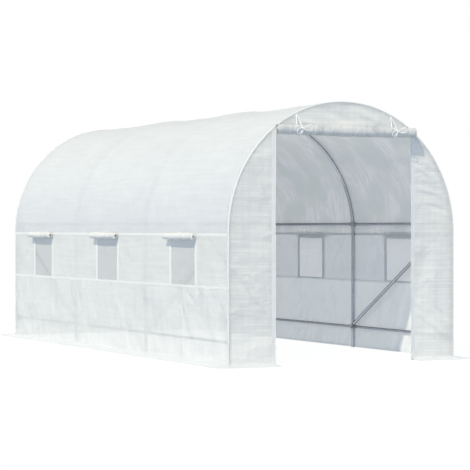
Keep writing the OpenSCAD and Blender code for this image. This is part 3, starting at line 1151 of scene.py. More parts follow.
@dataclass
class Finishes:
    """Every material of the tunnel."""

    groups: EffectGroups = field(default_factory=EffectGroups)
    roof: bpy.types.Material = field(init=False)
    band: bpy.types.Material = field(init=False)
    wall: bpy.types.Material = field(init=False)
    panel: bpy.types.Material = field(init=False)
    rolled: bpy.types.Material = field(init=False)
    door_rolled: bpy.types.Material = field(init=False)
    skirt: bpy.types.Material = field(init=False)
    tape: bpy.types.Material = field(init=False)
    seam: bpy.types.Material = field(init=False)
    binding: bpy.types.Material = field(init=False)
    tie: bpy.types.Material = field(init=False)
    net: bpy.types.Material = field(init=False)
    tube: bpy.types.Material = field(init=False)
    fitting: bpy.types.Material = field(init=False)
    bolt: bpy.types.Material = field(init=False)

    def __post_init__(self) -> None:
        """Builds the materials of the film, the tapes and net, and the steel."""
        self.film()
        self.cloth()
        self.steel()

    def film(self) -> None:
        """Builds the film of the roof, walls, ends, rolls and skirt. These are copies of one film
        whose tones differ to stand in for light and shade: the roof and the window band are painted
        darker, the end panels lighter and warmer, and the rolls darker still, most of all the door
        roll, as painted shade. Each inner face is a further copy, painted for the light inside.
        """
        # Roof: a darker, bluer copy of the film, painted shade against the strong lamp on top; its
        # inner face is painted darker, with painted light in patches and painted shade in the
        # creases.
        self.roof = FilmFinish(
            "roof_film", tone(0.783, 0.81, 0.842), tone(0.65, 0.685, 0.72),
            clear_share=0.08, glow_share=0.18, ribs=0.45,
            crumple=Crumple(0.010, 11.0, 3.2, 0.06, 0.10),
            inner=InnerFace(
                tone(0.72, 0.76, 0.75), tone(1.0, 0.97, 0.99), tone(0.62, 0.65, 0.67), 0.42),
        ).build(self.groups)
        # Window band: a darker copy, painted shade; its inner face is painted bluer for the light
        # inside, with painted shade in the creases.
        self.band = FilmFinish(
            "band_film", tone(0.85, 0.86, 0.86), tone(0.705, 0.73, 0.735),
            clear_share=0.13, glow_share=0.16, ribs=0.55,
            crumple=Crumple(0.014, 6.0, 4.0, -0.3, 0.20),
            inner=InnerFace(
                tone(0.75, 0.785, 0.825), tone(0.80, 0.825, 0.89), tone(0.65, 0.68, 0.725), 0.5),
        ).build(self.groups)
        # Lower walls: the inner face is a lighter, greener copy, painted light inside near the
        # ground, with painted shade in the creases.
        self.wall = FilmFinish(
            "wall_film", tone(0.885, 0.89, 0.89), tone(0.73, 0.755, 0.765),
            clear_share=0.14, glow_share=0.20, ribs=0.40,
            crumple=Crumple(0.022, 6.0, 3.0, -0.4, 0.25),
            inner=InnerFace(
                tone(0.90, 0.94, 0.945), tone(0.93, 0.95, 0.98), tone(0.74, 0.78, 0.80), 0.6),
        ).build(self.groups)
        # End panels: a lighter, warmer copy of the film, painted light for the end that gets less
        # of the lamp.
        self.panel = FilmFinish(
            "panel_film", tone(0.97, 0.95, 0.915), tone(0.815, 0.815, 0.795),
            clear_share=0.14, ribs=1.25, rib_pitch=0.024,
            crumple=Crumple(0.016, 5.0, 9.0, 0.2, 0.25),
        ).build(self.groups)
        # Window rolls: a darker copy with strong crease shade, painted shade on the rolls' lower
        # sides.
        self.rolled = FilmFinish(
            "rolled_film", tone(0.81, 0.825, 0.835), tone(0.52, 0.54, 0.55),
            clear_share=0.0, glow_share=0.03, ribs=0.2,
            crumple=Crumple(0.012, 42.0, 7.0, 0.1, 0.40),
        ).build(self.groups)
        # Door roll: the darkest copy with the most crease shade, painted shade for the roll's
        # shaded underside.
        self.door_rolled = FilmFinish(
            "door_rolled_film", tone(0.735, 0.745, 0.755), tone(0.43, 0.445, 0.455),
            clear_share=0.0, glow_share=0.03, ribs=0.2,
            crumple=Crumple(0.014, 30.0, 7.0, 0.1, 0.70),
        ).build(self.groups)
        self.skirt = FilmFinish(
            "skirt_film", tone(0.83, 0.86, 0.91), tone(0.72, 0.76, 0.81),
            clear_share=0.12, ribs=0.40,
        ).build(self.groups)

    def cloth(self) -> None:
        """Builds the tapes and the net."""
        self.tape = TapeFinish("white_tape").build(self.groups)
        self.seam = TapeFinish(
            "pale_seam", tone(0.95, 0.96, 0.965), tone(0.89, 0.91, 0.92), 0.38,
        ).build(self.groups)
        self.binding = TapeFinish(
            "white_binding", tone(0.79, 0.81, 0.815), tone(0.73, 0.755, 0.765),
        ).build(self.groups)
        self.tie = TapeFinish(
            "white_tie", tone(0.93, 0.95, 0.97), tone(0.85, 0.88, 0.905),
        ).build(self.groups)
        self.net = NetFinish("insect_net").build(self.groups)

    def steel(self) -> None:
        """Builds the zinc of the tubes, fittings and bolts."""
        self.tube = ZincFinish(
            "galvanised_tube", tone(0.57, 0.60, 0.66), tone(0.30, 0.33, 0.38), (0.05, 0.12), 150.0,
        ).build(self.groups)
        self.fitting = ZincFinish(
            "zinc_fitting", tone(0.46, 0.49, 0.54), tone(0.25, 0.28, 0.32), (0.20, 0.40), 210.0,
        ).build(self.groups)
        self.bolt = ZincFinish(
            "bright_bolt", tone(0.62, 0.62, 0.60), tone(0.42, 0.42, 0.41), (0.22, 0.40), 500.0,
        ).build(self.groups)


def keep(
    piece: bpy.types.Object, material: bpy.types.Material, slot: Slot, *nodes: str,
) -> bpy.types.Object:
    """Dresses a finished piece, ties it to the tunnel's body and reports it.

    Args:
        piece: the piece.
        material: its finish.
        slot: the record's slot that it belongs to.
        nodes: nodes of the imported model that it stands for.

    Returns:
        The piece.
    """
    piece.data.materials.clear()
    piece.data.materials.append(material)
    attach(piece, BODY)
    if nodes:
        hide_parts(*nodes)
    LOG.info("%s: %d faces, slot %s", piece.name, len(piece.data.polygons), slot.value)
    return piece


@dataclass
class SteelFrame:
    """The hoops, rails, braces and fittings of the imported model, with their bolts."""

    shape: TunnelShape
    finishes: Finishes
    screw_reach: float = 0.043
    screw_across: float = 0.008
    bolt_across: float = 0.014
    socket_wall: float = 0.0029
    tab_half: float = 0.002
    tube_words: tuple[str, ...] = ("hoop", "rails", "brace")

    # Washer and head from the seat up: sides, half width and height in widths across the flats
    WASHER = ((16, 0.95, 0.0), (16, 0.95, 0.12))
    HEAD = ((6, 0.58, 0.12), (6, 0.58, 0.55), (6, 0.46, 0.66))

    def dress(self) -> None:
        """Gives every steel node its finish."""
        for name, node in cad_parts.items():
            is_fitting = name.endswith("fittings")
            if not is_fitting and not any(word in name for word in self.tube_words):
                continue
            node.data.materials.clear()
            node.data.materials.append(self.finishes.fitting if is_fitting else self.finishes.tube)
            LOG.info("%s: steel", name)

    def hex_head(
        self, at: Vector, axis: Vector, across: float,
    ) -> tuple[list[Vector], list[list[int]]]:
        """Corners and faces of one hexagon bolt head with a washer.

        Args:
            at: middle of the seat that it sits on.
            axis: direction that the head points in.
            across: width of the head across its flats.

        Returns:
            The corners, and the corners of each face.
        """
        turn = axis.to_track_quat("Z", "Y").to_matrix()
        points, faces = [], []
        for stack in (self.WASHER, self.HEAD):
            for k, (sides, wide, high) in enumerate(stack):
                ring = list(range(len(points), len(points) + sides))
                for corner in range(sides):
                    angle = 2 * math.pi * corner / sides
                    local = Vector((wide * math.cos(angle), wide * math.sin(angle), high)) * across
                    points.append(at + turn @ local)
                if k == 0:
                    faces.append(ring[::-1])
                    continue
                after = ring[1:] + ring[:1]
                faces += [[a - sides, b - sides, b, a] for a, b in zip(ring, after)]
            faces.append(ring)
        return points, faces

    def screw_places(self) -> list[tuple[Vector, Vector, float]]:
        """Finds the set screws, one on each socket of a rail.

        Returns:
            Seat, direction and width across flats of each screw.
        """
        places, last = [], len(self.shape.hoops) - 1
        for rail in ("ridge", "left_side", "right_side", "left_base", "right_base"):
            low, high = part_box(f"{rail}_rails")
            middle = (low + high) / 2
            inward = Vector((-math.copysign(1, middle.x), 0, 0))
            if rail == "ridge":
                inward = Vector((0, 0, -1))
            seat = (high.x - low.x) / 2 + self.socket_wall
            for k, hoop in enumerate(self.shape.hoops):
                for way in (-1, 1):
                    if 0 <= k + way <= last:
                        at = Vector((middle.x, hoop + way * self.screw_reach, middle.z))
                        places.append((at + inward * seat, inward, self.screw_across))
        return places

    def brace_places(self) -> list[tuple[Vector, Vector, float]]:
        """Finds the bolts on the flat ends of the braces.

        Returns:
            Seat, direction and width across flats of each bolt.
        """
        places = []
        for side in Side:
            inward = Vector((-side.value, 0, 0))
            for bay in (Bay.FRONT, Bay.BACK):
                low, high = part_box(f"{side.label}_{bay.value}_brace")
                inset = (high.x - low.x) / 2
                face = (low.x + high.x) / 2 - side.value * self.tab_half
                near, far = low.y + inset, high.y - inset
                top_y, low_y = (near, far) if bay is Bay.FRONT else (far, near)
                for y, z in ((top_y, high.z - inset), (low_y, low.z + inset)):
                    places.append((Vector((face, y, z)), inward, self.bolt_across))
        return places

    def build(self) -> None:
        """Makes all bolt heads as one piece."""
        points, faces = [], []
        for at, axis, across in self.screw_places() + self.brace_places():
            corners, sides = self.hex_head(at, axis, across)
            faces += [[len(points) + c for c in face] for face in sides]
            points += corners
        piece = Mesher.solid("frame_bolts", np.array(points), faces)
        piece.data.polygons.foreach_set("use_smooth", np.zeros(len(faces), bool))
        keep(piece, self.finishes.bolt, Slot.FITTING)


@dataclass
class FilmCover:
    """Roof, walls and end panels of film, with their tapes."""

    shape: TunnelShape
    cover: CoverSurface
    front: EndSurface
    back: EndSurface
    finishes: Finishes
    step: float = 0.018
    fine_step: float = 0.0144
    foot: float = 0.002
    corner_inset: float = 0.001
    seam_tape: float = 0.021
    window_tape: float = 0.040
    zip_tape: float = 0.030
    zip_lap: float = 0.004
    zip_inset: float = 0.001
    zip_lift: float = 0.0022
    zip_radius: float = 0.0024
    zip_swell: float = 0.18
    zip_sides: int = 8
    teeth_a_step: int = 4
    tape_lift: float = 0.0014
    tape_edge_share: float = 0.35
    tape_rim_share: float = 0.08
    tape_columns: int = 7
    panel_columns: int = 30
    lunette_share: float = 0.999
    lunette_grid: tuple[int, int] = (84, 20)
    back_inset: float = 0.0005
    back_grid: tuple[int, int] = (97, 110)
    skirt_lift: float = 0.020
    skirt_columns: int = 13
    skirt_corner: int = 9
    skirt_back: int = 112
    skirt_fall: float = 2.4
    skirt_rise: float = 0.0025
    skirt_least: float = 0.0008
    skirt_wave: float = 0.009
    skirt_wave_size: Pair = (0.16, 2 / 3)
    skirt_wave_end_share: float = 1.3
    skirt_edge_share: float = 0.05
    skirt_edge_size: Pair = (0.35, 1.0)
    skirt_seed: int = 71

    # Section of an edge binding, from the roof round to the end: way past the end, and lift
    BINDING = (
        (-0.0225, 0.0006), (-0.0220, 0.0022), (-0.0110, 0.0022), (0.0002, 0.00198),
        (0.0010, 0.00066), (0.0010, -0.0050), (0.0004, -0.0075),
    )

    def tape(
        self, name: str, place: Callable[..., Array], along: Array, across: Array, upright: bool,
        finish: bpy.types.Material | None = None,
    ) -> bpy.types.Object:
        """Makes a tape that follows a surface.

        Args:
            name: name of the piece.
            place: the surface's way to place points from two coordinates and a lift.
            along: places along the tape.
            across: its two edges.
            upright: true where the tape runs along the surface's second coordinate.
            finish: its finish, if not the plain white tape.

        Returns:
            The tape.
        """
        shares = np.linspace(0.0, 1.0, self.tape_columns)
        width = across[0] + (across[1] - across[0]) * shares
        rim, edge = self.tape_rim_share, self.tape_edge_share
        bulge = np.sin(math.pi * np.clip(shares, rim, 1.0 - rim))
        lift = self.tape_lift * (edge + (1.0 - edge) * bulge)
        rows, columns = np.meshgrid(along, width, indexing="ij")
        points = place(*((columns, rows) if upright else (rows, columns)), lift[None, :])
        uv = np.stack([columns - across[0], rows - along[0]], axis=-1)
        piece = Mesher.sheet(name, points, uv, flip=upright and place == self.cover.place)
        return keep(piece, finish or self.finishes.tape, Slot.TAPE)

    def wall_span(self, side: Side, low: float, high: float) -> Array:
        """Ways round the girth to two heights on one of the walls, in order."""
        return np.sort([self.cover.wall_t(side, low), self.cover.wall_t(side, high)])

    def seam_edges(self, side: Side, z: float) -> Array:
        """Edges of the tape over a seam, as ways round the girth."""
        return self.wall_span(side, z - self.seam_tape / 2, z + self.seam_tape / 2)

    def side_sheet(
        self, name: str, ys: Array, ts: Array, filled: Array | None = None, flip: bool = False,
    ) -> bpy.types.Object:
        """Makes a sheet of the cover between the ends.

        Args:
            name: name of the piece.
            ys: places along the tunnel.
            ts: ways round the girth.
            filled: which cells are filled; all if left out.
            flip: turns the outside of the sheet round.

        Returns:
            The sheet.
        """
        y, t = np.meshgrid(ys, ts, indexing="ij")
        uv = np.stack([y, t], axis=-1)
        return Mesher.sheet(name, self.cover.place(y, t), uv, filled, flip)

    def roof(self) -> None:
        """Makes the roof sheet with the two tapes of its seams and the bindings of its ends."""
        shape = self.shape
        ys = stations((shape.front, *shape.hoops, shape.back), self.step)
        ends = (shape.upper_seam, shape.girth - shape.upper_seam)
        ts = np.linspace(*ends, 1 + math.ceil((ends[1] - ends[0]) / self.step))
        piece = self.side_sheet("roof_film", ys, ts)
        keep(piece, self.finishes.roof, Slot.FILM, "roof_cover")
        for side in Side:
            edges = self.seam_edges(side, shape.upper_seam)
            self.tape(
                f"{side.label}_upper_seam", self.cover.place, ys, edges, upright=False)
        self.binding("front_arch_binding", shape.front, -1)
        self.binding("back_arch_binding", shape.back, 1)

    def binding(self, name: str, y_end: float, outward: int) -> bpy.types.Object:
        """Makes the tape that wraps the edge between the roof and an end, down to the ground.

        Args:
            name: name of the piece.
            y_end: where the end is.
            outward: direction of the outside along Y.

        Returns:
            The binding.
        """
        shape, section = self.shape, np.array(self.BINDING)
        past, lifts = section.T[:, None, :]
        feet = (self.foot, shape.spring, shape.girth - shape.spring, shape.girth - self.foot)
        ts = stations(feet, self.step)
        points = self.cover.place(y_end + outward * past, ts[:, None], lifts)
        uv = np.stack(np.meshgrid(run_along(section), ts), axis=-1)
        piece = Mesher.sheet(name, points, uv, flip=outward < 0)
        return keep(piece, self.finishes.binding, Slot.TAPE)

    def window_band(self, side: Side) -> None:
        """Makes the band with the window openings, its window tapes and its lower seam.

        Args:
            side: the side of the tunnel.
        """
        shape, name = self.shape, side.label
        gaps = [edge for window in shape.windows for edge in window]
        ys = stations(sorted((shape.front, *gaps, shape.back)), self.step)
        zs = stations((shape.lower_seam, shape.sill, shape.head, shape.upper_seam), self.step)
        mid_y, mid_z = (ys[:-1] + ys[1:]) / 2, (zs[:-1] + zs[1:]) / 2
        in_gap = np.any([(mid_y > low) & (mid_y < high) for low, high in shape.windows], axis=0)
        open_z = (mid_z > shape.sill) & (mid_z < shape.head)
        piece = self.side_sheet(
            f"{name}_window_film", ys, self.cover.wall_t(side, zs),
            filled=~(in_gap[:, None] & open_z[None, :]), flip=side is Side.RIGHT,
        )
        keep(piece, self.finishes.band, Slot.FILM, f"{name}_window_band")
        extras = [self.tape(
            f"{name}_lower_seam", self.cover.place, ys, self.seam_edges(side, shape.lower_seam),
            upright=False, finish=self.finishes.seam,
        )]
        ups = stations(self.wall_span(side, shape.lower_seam, shape.upper_seam), self.step)
        wide = self.window_tape
        for bay, (low, high) in zip(Bay, shape.windows):
            borders = {"near": (low - wide, low), "far": (high, high + wide)}
            for edge, across in borders.items():
                extras.append(self.tape(
                    f"{name}_{bay.value}_window_{edge}_tape", self.cover.place, ups,
                    np.array(across), upright=True,
                ))

    def lower_wall(self, side: Side) -> None:
        """Makes the wall under the windows.

        Args:
            side: the side of the tunnel.
        """
        shape = self.shape
        ys = stations((shape.front, *shape.hoops, shape.back), self.fine_step)
        zs = stations((self.foot, self.skirt_lift, shape.lower_seam), self.step)
        piece = self.side_sheet(
            f"{side.label}_wall_film", ys, self.cover.wall_t(side, zs), flip=side is Side.RIGHT,
        )
        keep(piece, self.finishes.wall, Slot.FILM, f"{side.label}_lower_wall")

    def skirt_path(self) -> tuple[Array, Array]:
        """Foot of the cover from one door edge round to the other.

        Returns:
            Points along the foot, and the direction away from the tunnel at each of them.
        """
        shape, foot, quarter = self.shape, self.skirt_lift, math.pi / 2
        corner = shape.radius - self.corner_inset
        across = stations((shape.door_half, corner), self.step)
        through = stations((shape.front, *shape.hoops, shape.back), self.step)
        wide = np.linspace(-corner, corner, self.skirt_back)

        def end_run(end: EndSurface, xs: Array) -> Array:
            """Foot of an end."""
            return end.place(xs, np.full_like(xs, foot))

        def side_run(side: Side, ys: Array) -> Array:
            """Foot of a long side."""
            return self.cover.place(ys, np.full_like(ys, self.cover.wall_t(side, foot)))

        runs = (
            end_run(self.front, -across), side_run(Side.LEFT, through), end_run(self.back, wide),
            side_run(Side.RIGHT, through[::-1]), end_run(self.front, across[::-1]),
        )
        points, turns = [], []
        for k, run in enumerate(runs):
            heading = -quarter - k * quarter
            if k:
                points.append(np.repeat(run[:1], self.skirt_corner, axis=0))
                fan = np.linspace(heading + quarter, heading, self.skirt_corner + 2)
                turns.append(fan[1:-1])
            points.append(run)
            turns.append(np.full(len(run), heading))
        turn = np.concatenate(turns)
        return np.vstack(points), np.stack([np.cos(turn), np.sin(turn)], axis=-1)

    def skirt(self) -> None:
        """Makes the loose skirt that falls from the foot of the cover and lies in waves."""
        shape, edge = self.shape, self.skirt_edge_share
        start, out = self.skirt_path()
        shares = np.linspace(0.0, 1.0, self.skirt_columns)[None, :]
        run = run_along(start[:, :2] + out * shape.skirt / 2)[:, None]
        waves = Ripple(self.skirt_seed).at(run, shares, self.skirt_wave_size)
        frayed = Ripple(self.skirt_seed + 1).at(run, np.zeros_like(run), self.skirt_edge_size)
        reach = shape.skirt * (1.0 - edge + edge * frayed) * shares
        fall = self.skirt_lift * (1.0 - shares) ** self.skirt_fall
        swell = self.skirt_wave * waves * shares * (self.skirt_wave_end_share - shares)
        lift = np.maximum(fall + swell + self.skirt_rise * shares, self.skirt_least)
        x, y = (start[:, None, axis] + out[:, None, axis] * reach for axis in (0, 1))
        uv = np.stack(np.broadcast_arrays(run, -reach), axis=-1)
        piece = Mesher.sheet("ground_skirt", np.stack([x, y, lift], axis=-1), uv, flip=True)
        nodes = ("left_skirt", "right_skirt", "front_skirts", "back_skirt")
        keep(piece, self.finishes.skirt, Slot.FILM, *nodes)

    def front_panel(self, side: Side) -> None:
        """Makes the panel on one side of the doorway with its zip.

        Args:
            side: the side of the doorway.
        """
        shape, name = self.shape, f"front_{side.label}"
        heights = (self.foot, self.skirt_lift, shape.spring, shape.door_head)
        zs = stations(heights, self.fine_step)
        shares = np.linspace(0.0, 1.0, self.panel_columns)
        z = np.broadcast_to(zs[:, None], (len(zs), len(shares)))
        x = side.value * (
            shape.door_half + (shape.arch_half(z) - shape.door_half) * shares[None, :])
        piece = Mesher.sheet(
            f"{name}_film", self.front.place(x, z), np.stack([x, z], axis=-1),
            flip=side is Side.LEFT,
        )
        keep(piece, self.finishes.panel, Slot.FILM, f"{name}_panel")
        edges = (shape.door_half - self.zip_lap, shape.door_half + self.zip_tape)
        across = np.sort([side.value * edge for edge in edges])
        zip_tape = self.tape(f"{name}_zip_tape", self.front.place, zs, across, upright=True)
        teeth = self.zip_teeth(f"{name}_zip_teeth", side, zs)
        area = float(np.trapz(shape.arch_half(zs) - shape.door_half, zs))

    def zip_teeth(self, name: str, side: Side, zs: Array) -> bpy.types.Object:
        """Makes the row of zip teeth along the edge of the doorway.

        Args:
            name: name of the piece.
            side: the side of the doorway.
            zs: heights along it.

        Returns:
            The teeth.
        """
        angles = ring_angles(self.zip_sides)
        ring = np.stack([np.cos(angles), np.sin(angles), np.zeros_like(angles)], axis=-1)
        fine = np.linspace(zs[0], zs[-1], self.teeth_a_step * len(zs))
        edge = np.full_like(fine, side.value * (self.shape.door_half - self.zip_inset))
        middle = self.front.place(edge, fine, self.zip_lift)
        swell = self.zip_radius * (1.0 + self.zip_swell * (np.arange(len(fine)) % 2))
        rings = middle[:, None, :] + swell[:, None, None] * ring[None]
        return keep(Mesher.sweep(name, rings), self.finishes.tape, Slot.TAPE)

    def under_arch(
        self, name: str, node: str, end: EndSurface, half: float, foot: float,
        grid: tuple[int, int],
    ) -> None:
        """Makes the film that fills an end from a level foot up to the arch.

        Args:
            name: name of the piece.
            node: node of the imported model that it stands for.
            end: surface of the end.
            half: half of the film's width at its foot.
            foot: height of its foot.
            grid: number of columns and rows.
        """
        shape, (columns, rows) = self.shape, grid
        xs = half * np.sin(np.linspace(-math.pi / 2, math.pi / 2, columns))
        x = np.broadcast_to(xs[None, :], (rows, columns))
        z = foot + (shape.arch_top(x) - foot) * np.linspace(0.0, 1.0, rows)[:, None]
        uv = np.stack([x, z], axis=-1)
        piece = Mesher.sheet(name, end.place(x, z), uv, flip=end.outward > 0)
        keep(piece, self.finishes.panel, Slot.FILM, node)
        float(np.trapz(shape.arch_top(xs) - foot, xs))

    def build(self) -> None:
        """Makes every sheet of the cover."""
        shape = self.shape
        self.roof()
        for side in Side:
            self.window_band(side)
            self.lower_wall(side)
        for side in Side:
            self.front_panel(side)
        head_half = float(shape.arch_half(shape.door_head))
        self.under_arch(
            "front_lunette_film", "front_lunette", self.front, head_half * self.lunette_share,
            shape.door_head, self.lunette_grid,
        )
        self.under_arch(
            "back_film", "back_panel", self.back, shape.radius - self.back_inset, self.foot,
            self.back_grid,
        )
        self.skirt()


@dataclass
class WindowNets:
    """Insect nets sewn behind the window openings."""

    shape: TunnelShape
    cover: CoverSurface
    finishes: Finishes
    lap: float = 0.010
    inset: float = 0.0018
    slack: float = 0.003
    grid: tuple[int, int] = (24, 22)

    def build(self) -> None:
        """Makes one net for each window."""
        for side in Side:
            for bay, window in zip(Bay, self.shape.windows):
                self.net(side, bay, window)

    def net(self, side: Side, bay: Bay, window: Pair) -> None:
        """Makes the net of one window.

        Args:
            side: the side of the tunnel.
            bay: the bay that the window is in.
            window: where the opening starts and ends along the tunnel.
        """
        columns, rows = self.grid
        ys = np.linspace(window[0] - self.lap, window[1] + self.lap, columns)
        zs = np.linspace(self.shape.sill - self.lap, self.shape.head + self.lap, rows)
        y, t = np.meshgrid(ys, self.cover.wall_t(side, zs), indexing="ij")
        bulge = np.outer(*(np.sin(math.pi * np.linspace(0.0, 1.0, count)) for count in self.grid))
        points = self.cover.place(y, t, -self.inset - self.slack * bulge)
        uv = np.stack([y, t], axis=-1)
        piece = Mesher.sheet(f"{side.label}_{bay.value}_net", points, uv, flip=side is Side.RIGHT)
        nodes = (f"{side.label}_window_screens",) if bay is Bay.FRONT else ()
        keep(piece, self.finishes.net, Slot.NET, *nodes)


@dataclass
class RolledFlap:
    """A flap of film rolled up outwards and hung by its upper edge.

    Sizes of swells and dents are pairs, along the roll and round it.
    """

    name: str
    node: str
    start: Vector
    end: Vector
    inward: Vector
    radius: float
    tail: float
    finish: bpy.types.Material
    seed: int
    core: float = 0.0015
    open_core: float = 0.0065
    pitch: float = 0.0061
    nose: float = 0.014
    slip: float = 0.022
    taper: float = 0.04
    sag: float = 0.003
    swell: float = 0.10
    swell_size: Pair = (0.11, 2.6)
    dent: float = 0.05
    dent_size: Pair = (0.045, 0.9)
    groove: float = 0.0025
    groove_columns: int = 5
    end_step: float = 0.004
    steps_a_turn: int = 22
    tail_steps: int = 6
    hang_share: float = 0.5
    row_step: float = 0.022
    least_rows: int = 24

    def build(self) -> None:
        """Makes the spiral sheet with its tail and its packed ends."""
        full_turn = 2 * math.pi
        turns = (self.radius - self.core) / self.pitch
        steps = np.arange(-math.floor(turns * self.steps_a_turn), 1)
        spiral = steps * (full_turn / self.steps_a_turn)
        axis = self.end - self.start
        rows = max(self.least_rows, math.ceil(axis.length / self.row_step))
        along = np.linspace(0.0, 1.0, rows)[:, None]
        swells, dents = Ripple(self.seed), Ripple(self.seed + 1)
        run, round_it = along * axis.length, spiral[None, :]
        uneven = 1.0 - self.swell * np.abs(swells.at(run, round_it, self.swell_size))
        uneven -= self.dent * np.abs(dents.at(run, round_it, self.dent_size))
        narrow = self.taper * along
        reach = (self.radius + self.pitch * round_it / full_turn) * uneven * (1.0 - narrow)
        p = reach * np.cos(spiral) + self.radius * narrow
        q = reach * np.sin(spiral) + self.radius * narrow

        climb = np.linspace(0.0, 1.0, self.tail_steps + 1)[None, 1:]
        p = np.hstack([p, p[:, -1:] + (self.radius - p[:, -1:]) * ease(climb / self.hang_share)])
        q = np.hstack([q, q[:, -1:] + (self.tail - q[:, -1:]) * climb])
        depth = np.concatenate([-spiral / (full_turn * turns), np.zeros(self.tail_steps)])
        under = np.clip(-q / self.radius, 0.0, 1.0)
        shift = self.slip * along * under - self.nose * depth[None, :]
        droop = self.sag * np.sin(math.pi * along) * (q < self.tail * self.hang_share)
        direction = np.array(axis.normalized())
        points = (
            np.array(self.start) + along[..., None] * np.array(axis)
            + shift[..., None] * direction
            + p[..., None] * np.array(self.inward)
            + (q - droop)[..., None] * np.array((0.0, 0.0, 1.0))
        )
        wound = run_along(np.stack([p[0], q[0]], axis=-1))
        uv = np.stack(np.broadcast_arrays(run, wound[None, :]), axis=-1)
        ends = [
            self.packed_end(points[row, :len(spiral)], way * direction)
            for row, way in ((0, 1), (-1, -1))
        ]
        piece = Mesher.join(self.name, [Mesher.sheet("turns", points, uv), *ends])
        keep(piece, self.finish, Slot.ROLLED, self.node)

    def packed_end(self, edge: Array, inward: Array) -> bpy.types.Object:
        """Makes the grooved end of the roll, where the edges of its turns lie side by side.

        Args:
            edge: points along the edge of the spiral, from the core outwards.
            inward: direction into the roll.

        Returns:
            The end.
        """
        first = math.ceil((self.open_core - self.core) / self.pitch * self.steps_a_turn)
        inner, outer = edge[first:-self.steps_a_turn], edge[first + self.steps_a_turn:]
        shares = np.linspace(0.0, 1.0, self.groove_columns)[None, :, None]
        groove = self.groove * np.sin(math.pi * shares)
        points = inner[:, None] + (outer - inner)[:, None] * shares + groove * inward
        around = np.arange(len(inner))[:, None] * self.end_step
        uv = np.stack(np.broadcast_arrays(around, self.pitch * shares[..., 0]), axis=-1)
        return Mesher.sheet("packed_end", points, uv, flip=bool(inward.sum() < 0))


@dataclass
class RolledFlaps:
    """The six window flaps and the door, all rolled up."""

    finishes: Finishes
    loose: float = 0.002
    lift: float = 0.002
    near_inset: float = 0.012
    far_reach: float = 0.010
    window_seed: int = 131
    seed_step: int = 7
    tail_gap: float = 0.0022
    door_lift: float = 0.001
    door_inset: float = 0.01
    door_seed: int = 211

    def window_flap(self, side: Side, bay: Bay, seed: int) -> RolledFlap:
        """The flap of one window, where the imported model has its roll.

        Args:
            side: the side of the tunnel.
            bay: the bay that the window is in.
            seed: seed of its dents.

        Returns:
            The flap.
        """
        label = f"{side.label}_{bay.value}"
        low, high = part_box(f"{label}_window_roll")
        radius = (high.x - low.x) / 2 + self.loose
        x = (low.x + high.x) / 2 + side.value * self.loose
        z = low.z + radius + self.lift
        return RolledFlap(
            f"{label}_rolled_flap", f"{label}_window_roll",
            Vector((x, low.y + self.near_inset, z)), Vector((x, high.y + self.far_reach, z)),
            Vector((-side.value, 0, 0)), radius, high.z - z, self.finishes.rolled, seed,
        )

    def door_flap(self) -> RolledFlap:
        """The door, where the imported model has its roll.

        Returns:
            The flap.
        """
        low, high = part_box("door_roll")
        radius = (high.y - low.y) / 2 - self.tail_gap / 2
        y = (low.y + high.y) / 2 - self.tail_gap / 2
        z = low.z + radius + self.door_lift
        return RolledFlap(
            "door_rolled_flap", "door_roll",
            Vector((low.x + self.door_inset, y, z)), Vector((high.x - self.door_inset, y, z)),
            Vector((0, 1, 0)), radius, high.z - z, self.finishes.door_rolled, self.door_seed,
            pitch=0.0028, slip=0.004, taper=0.0, sag=0.006,
        )

    def build(self) -> None:
        """Makes every flap."""
        for side in Side:
            for k, bay in enumerate(Bay):
                seed = self.window_seed + self.seed_step * k + side.value
                self.window_flap(side, bay, seed).build()
        self.door_flap().build()


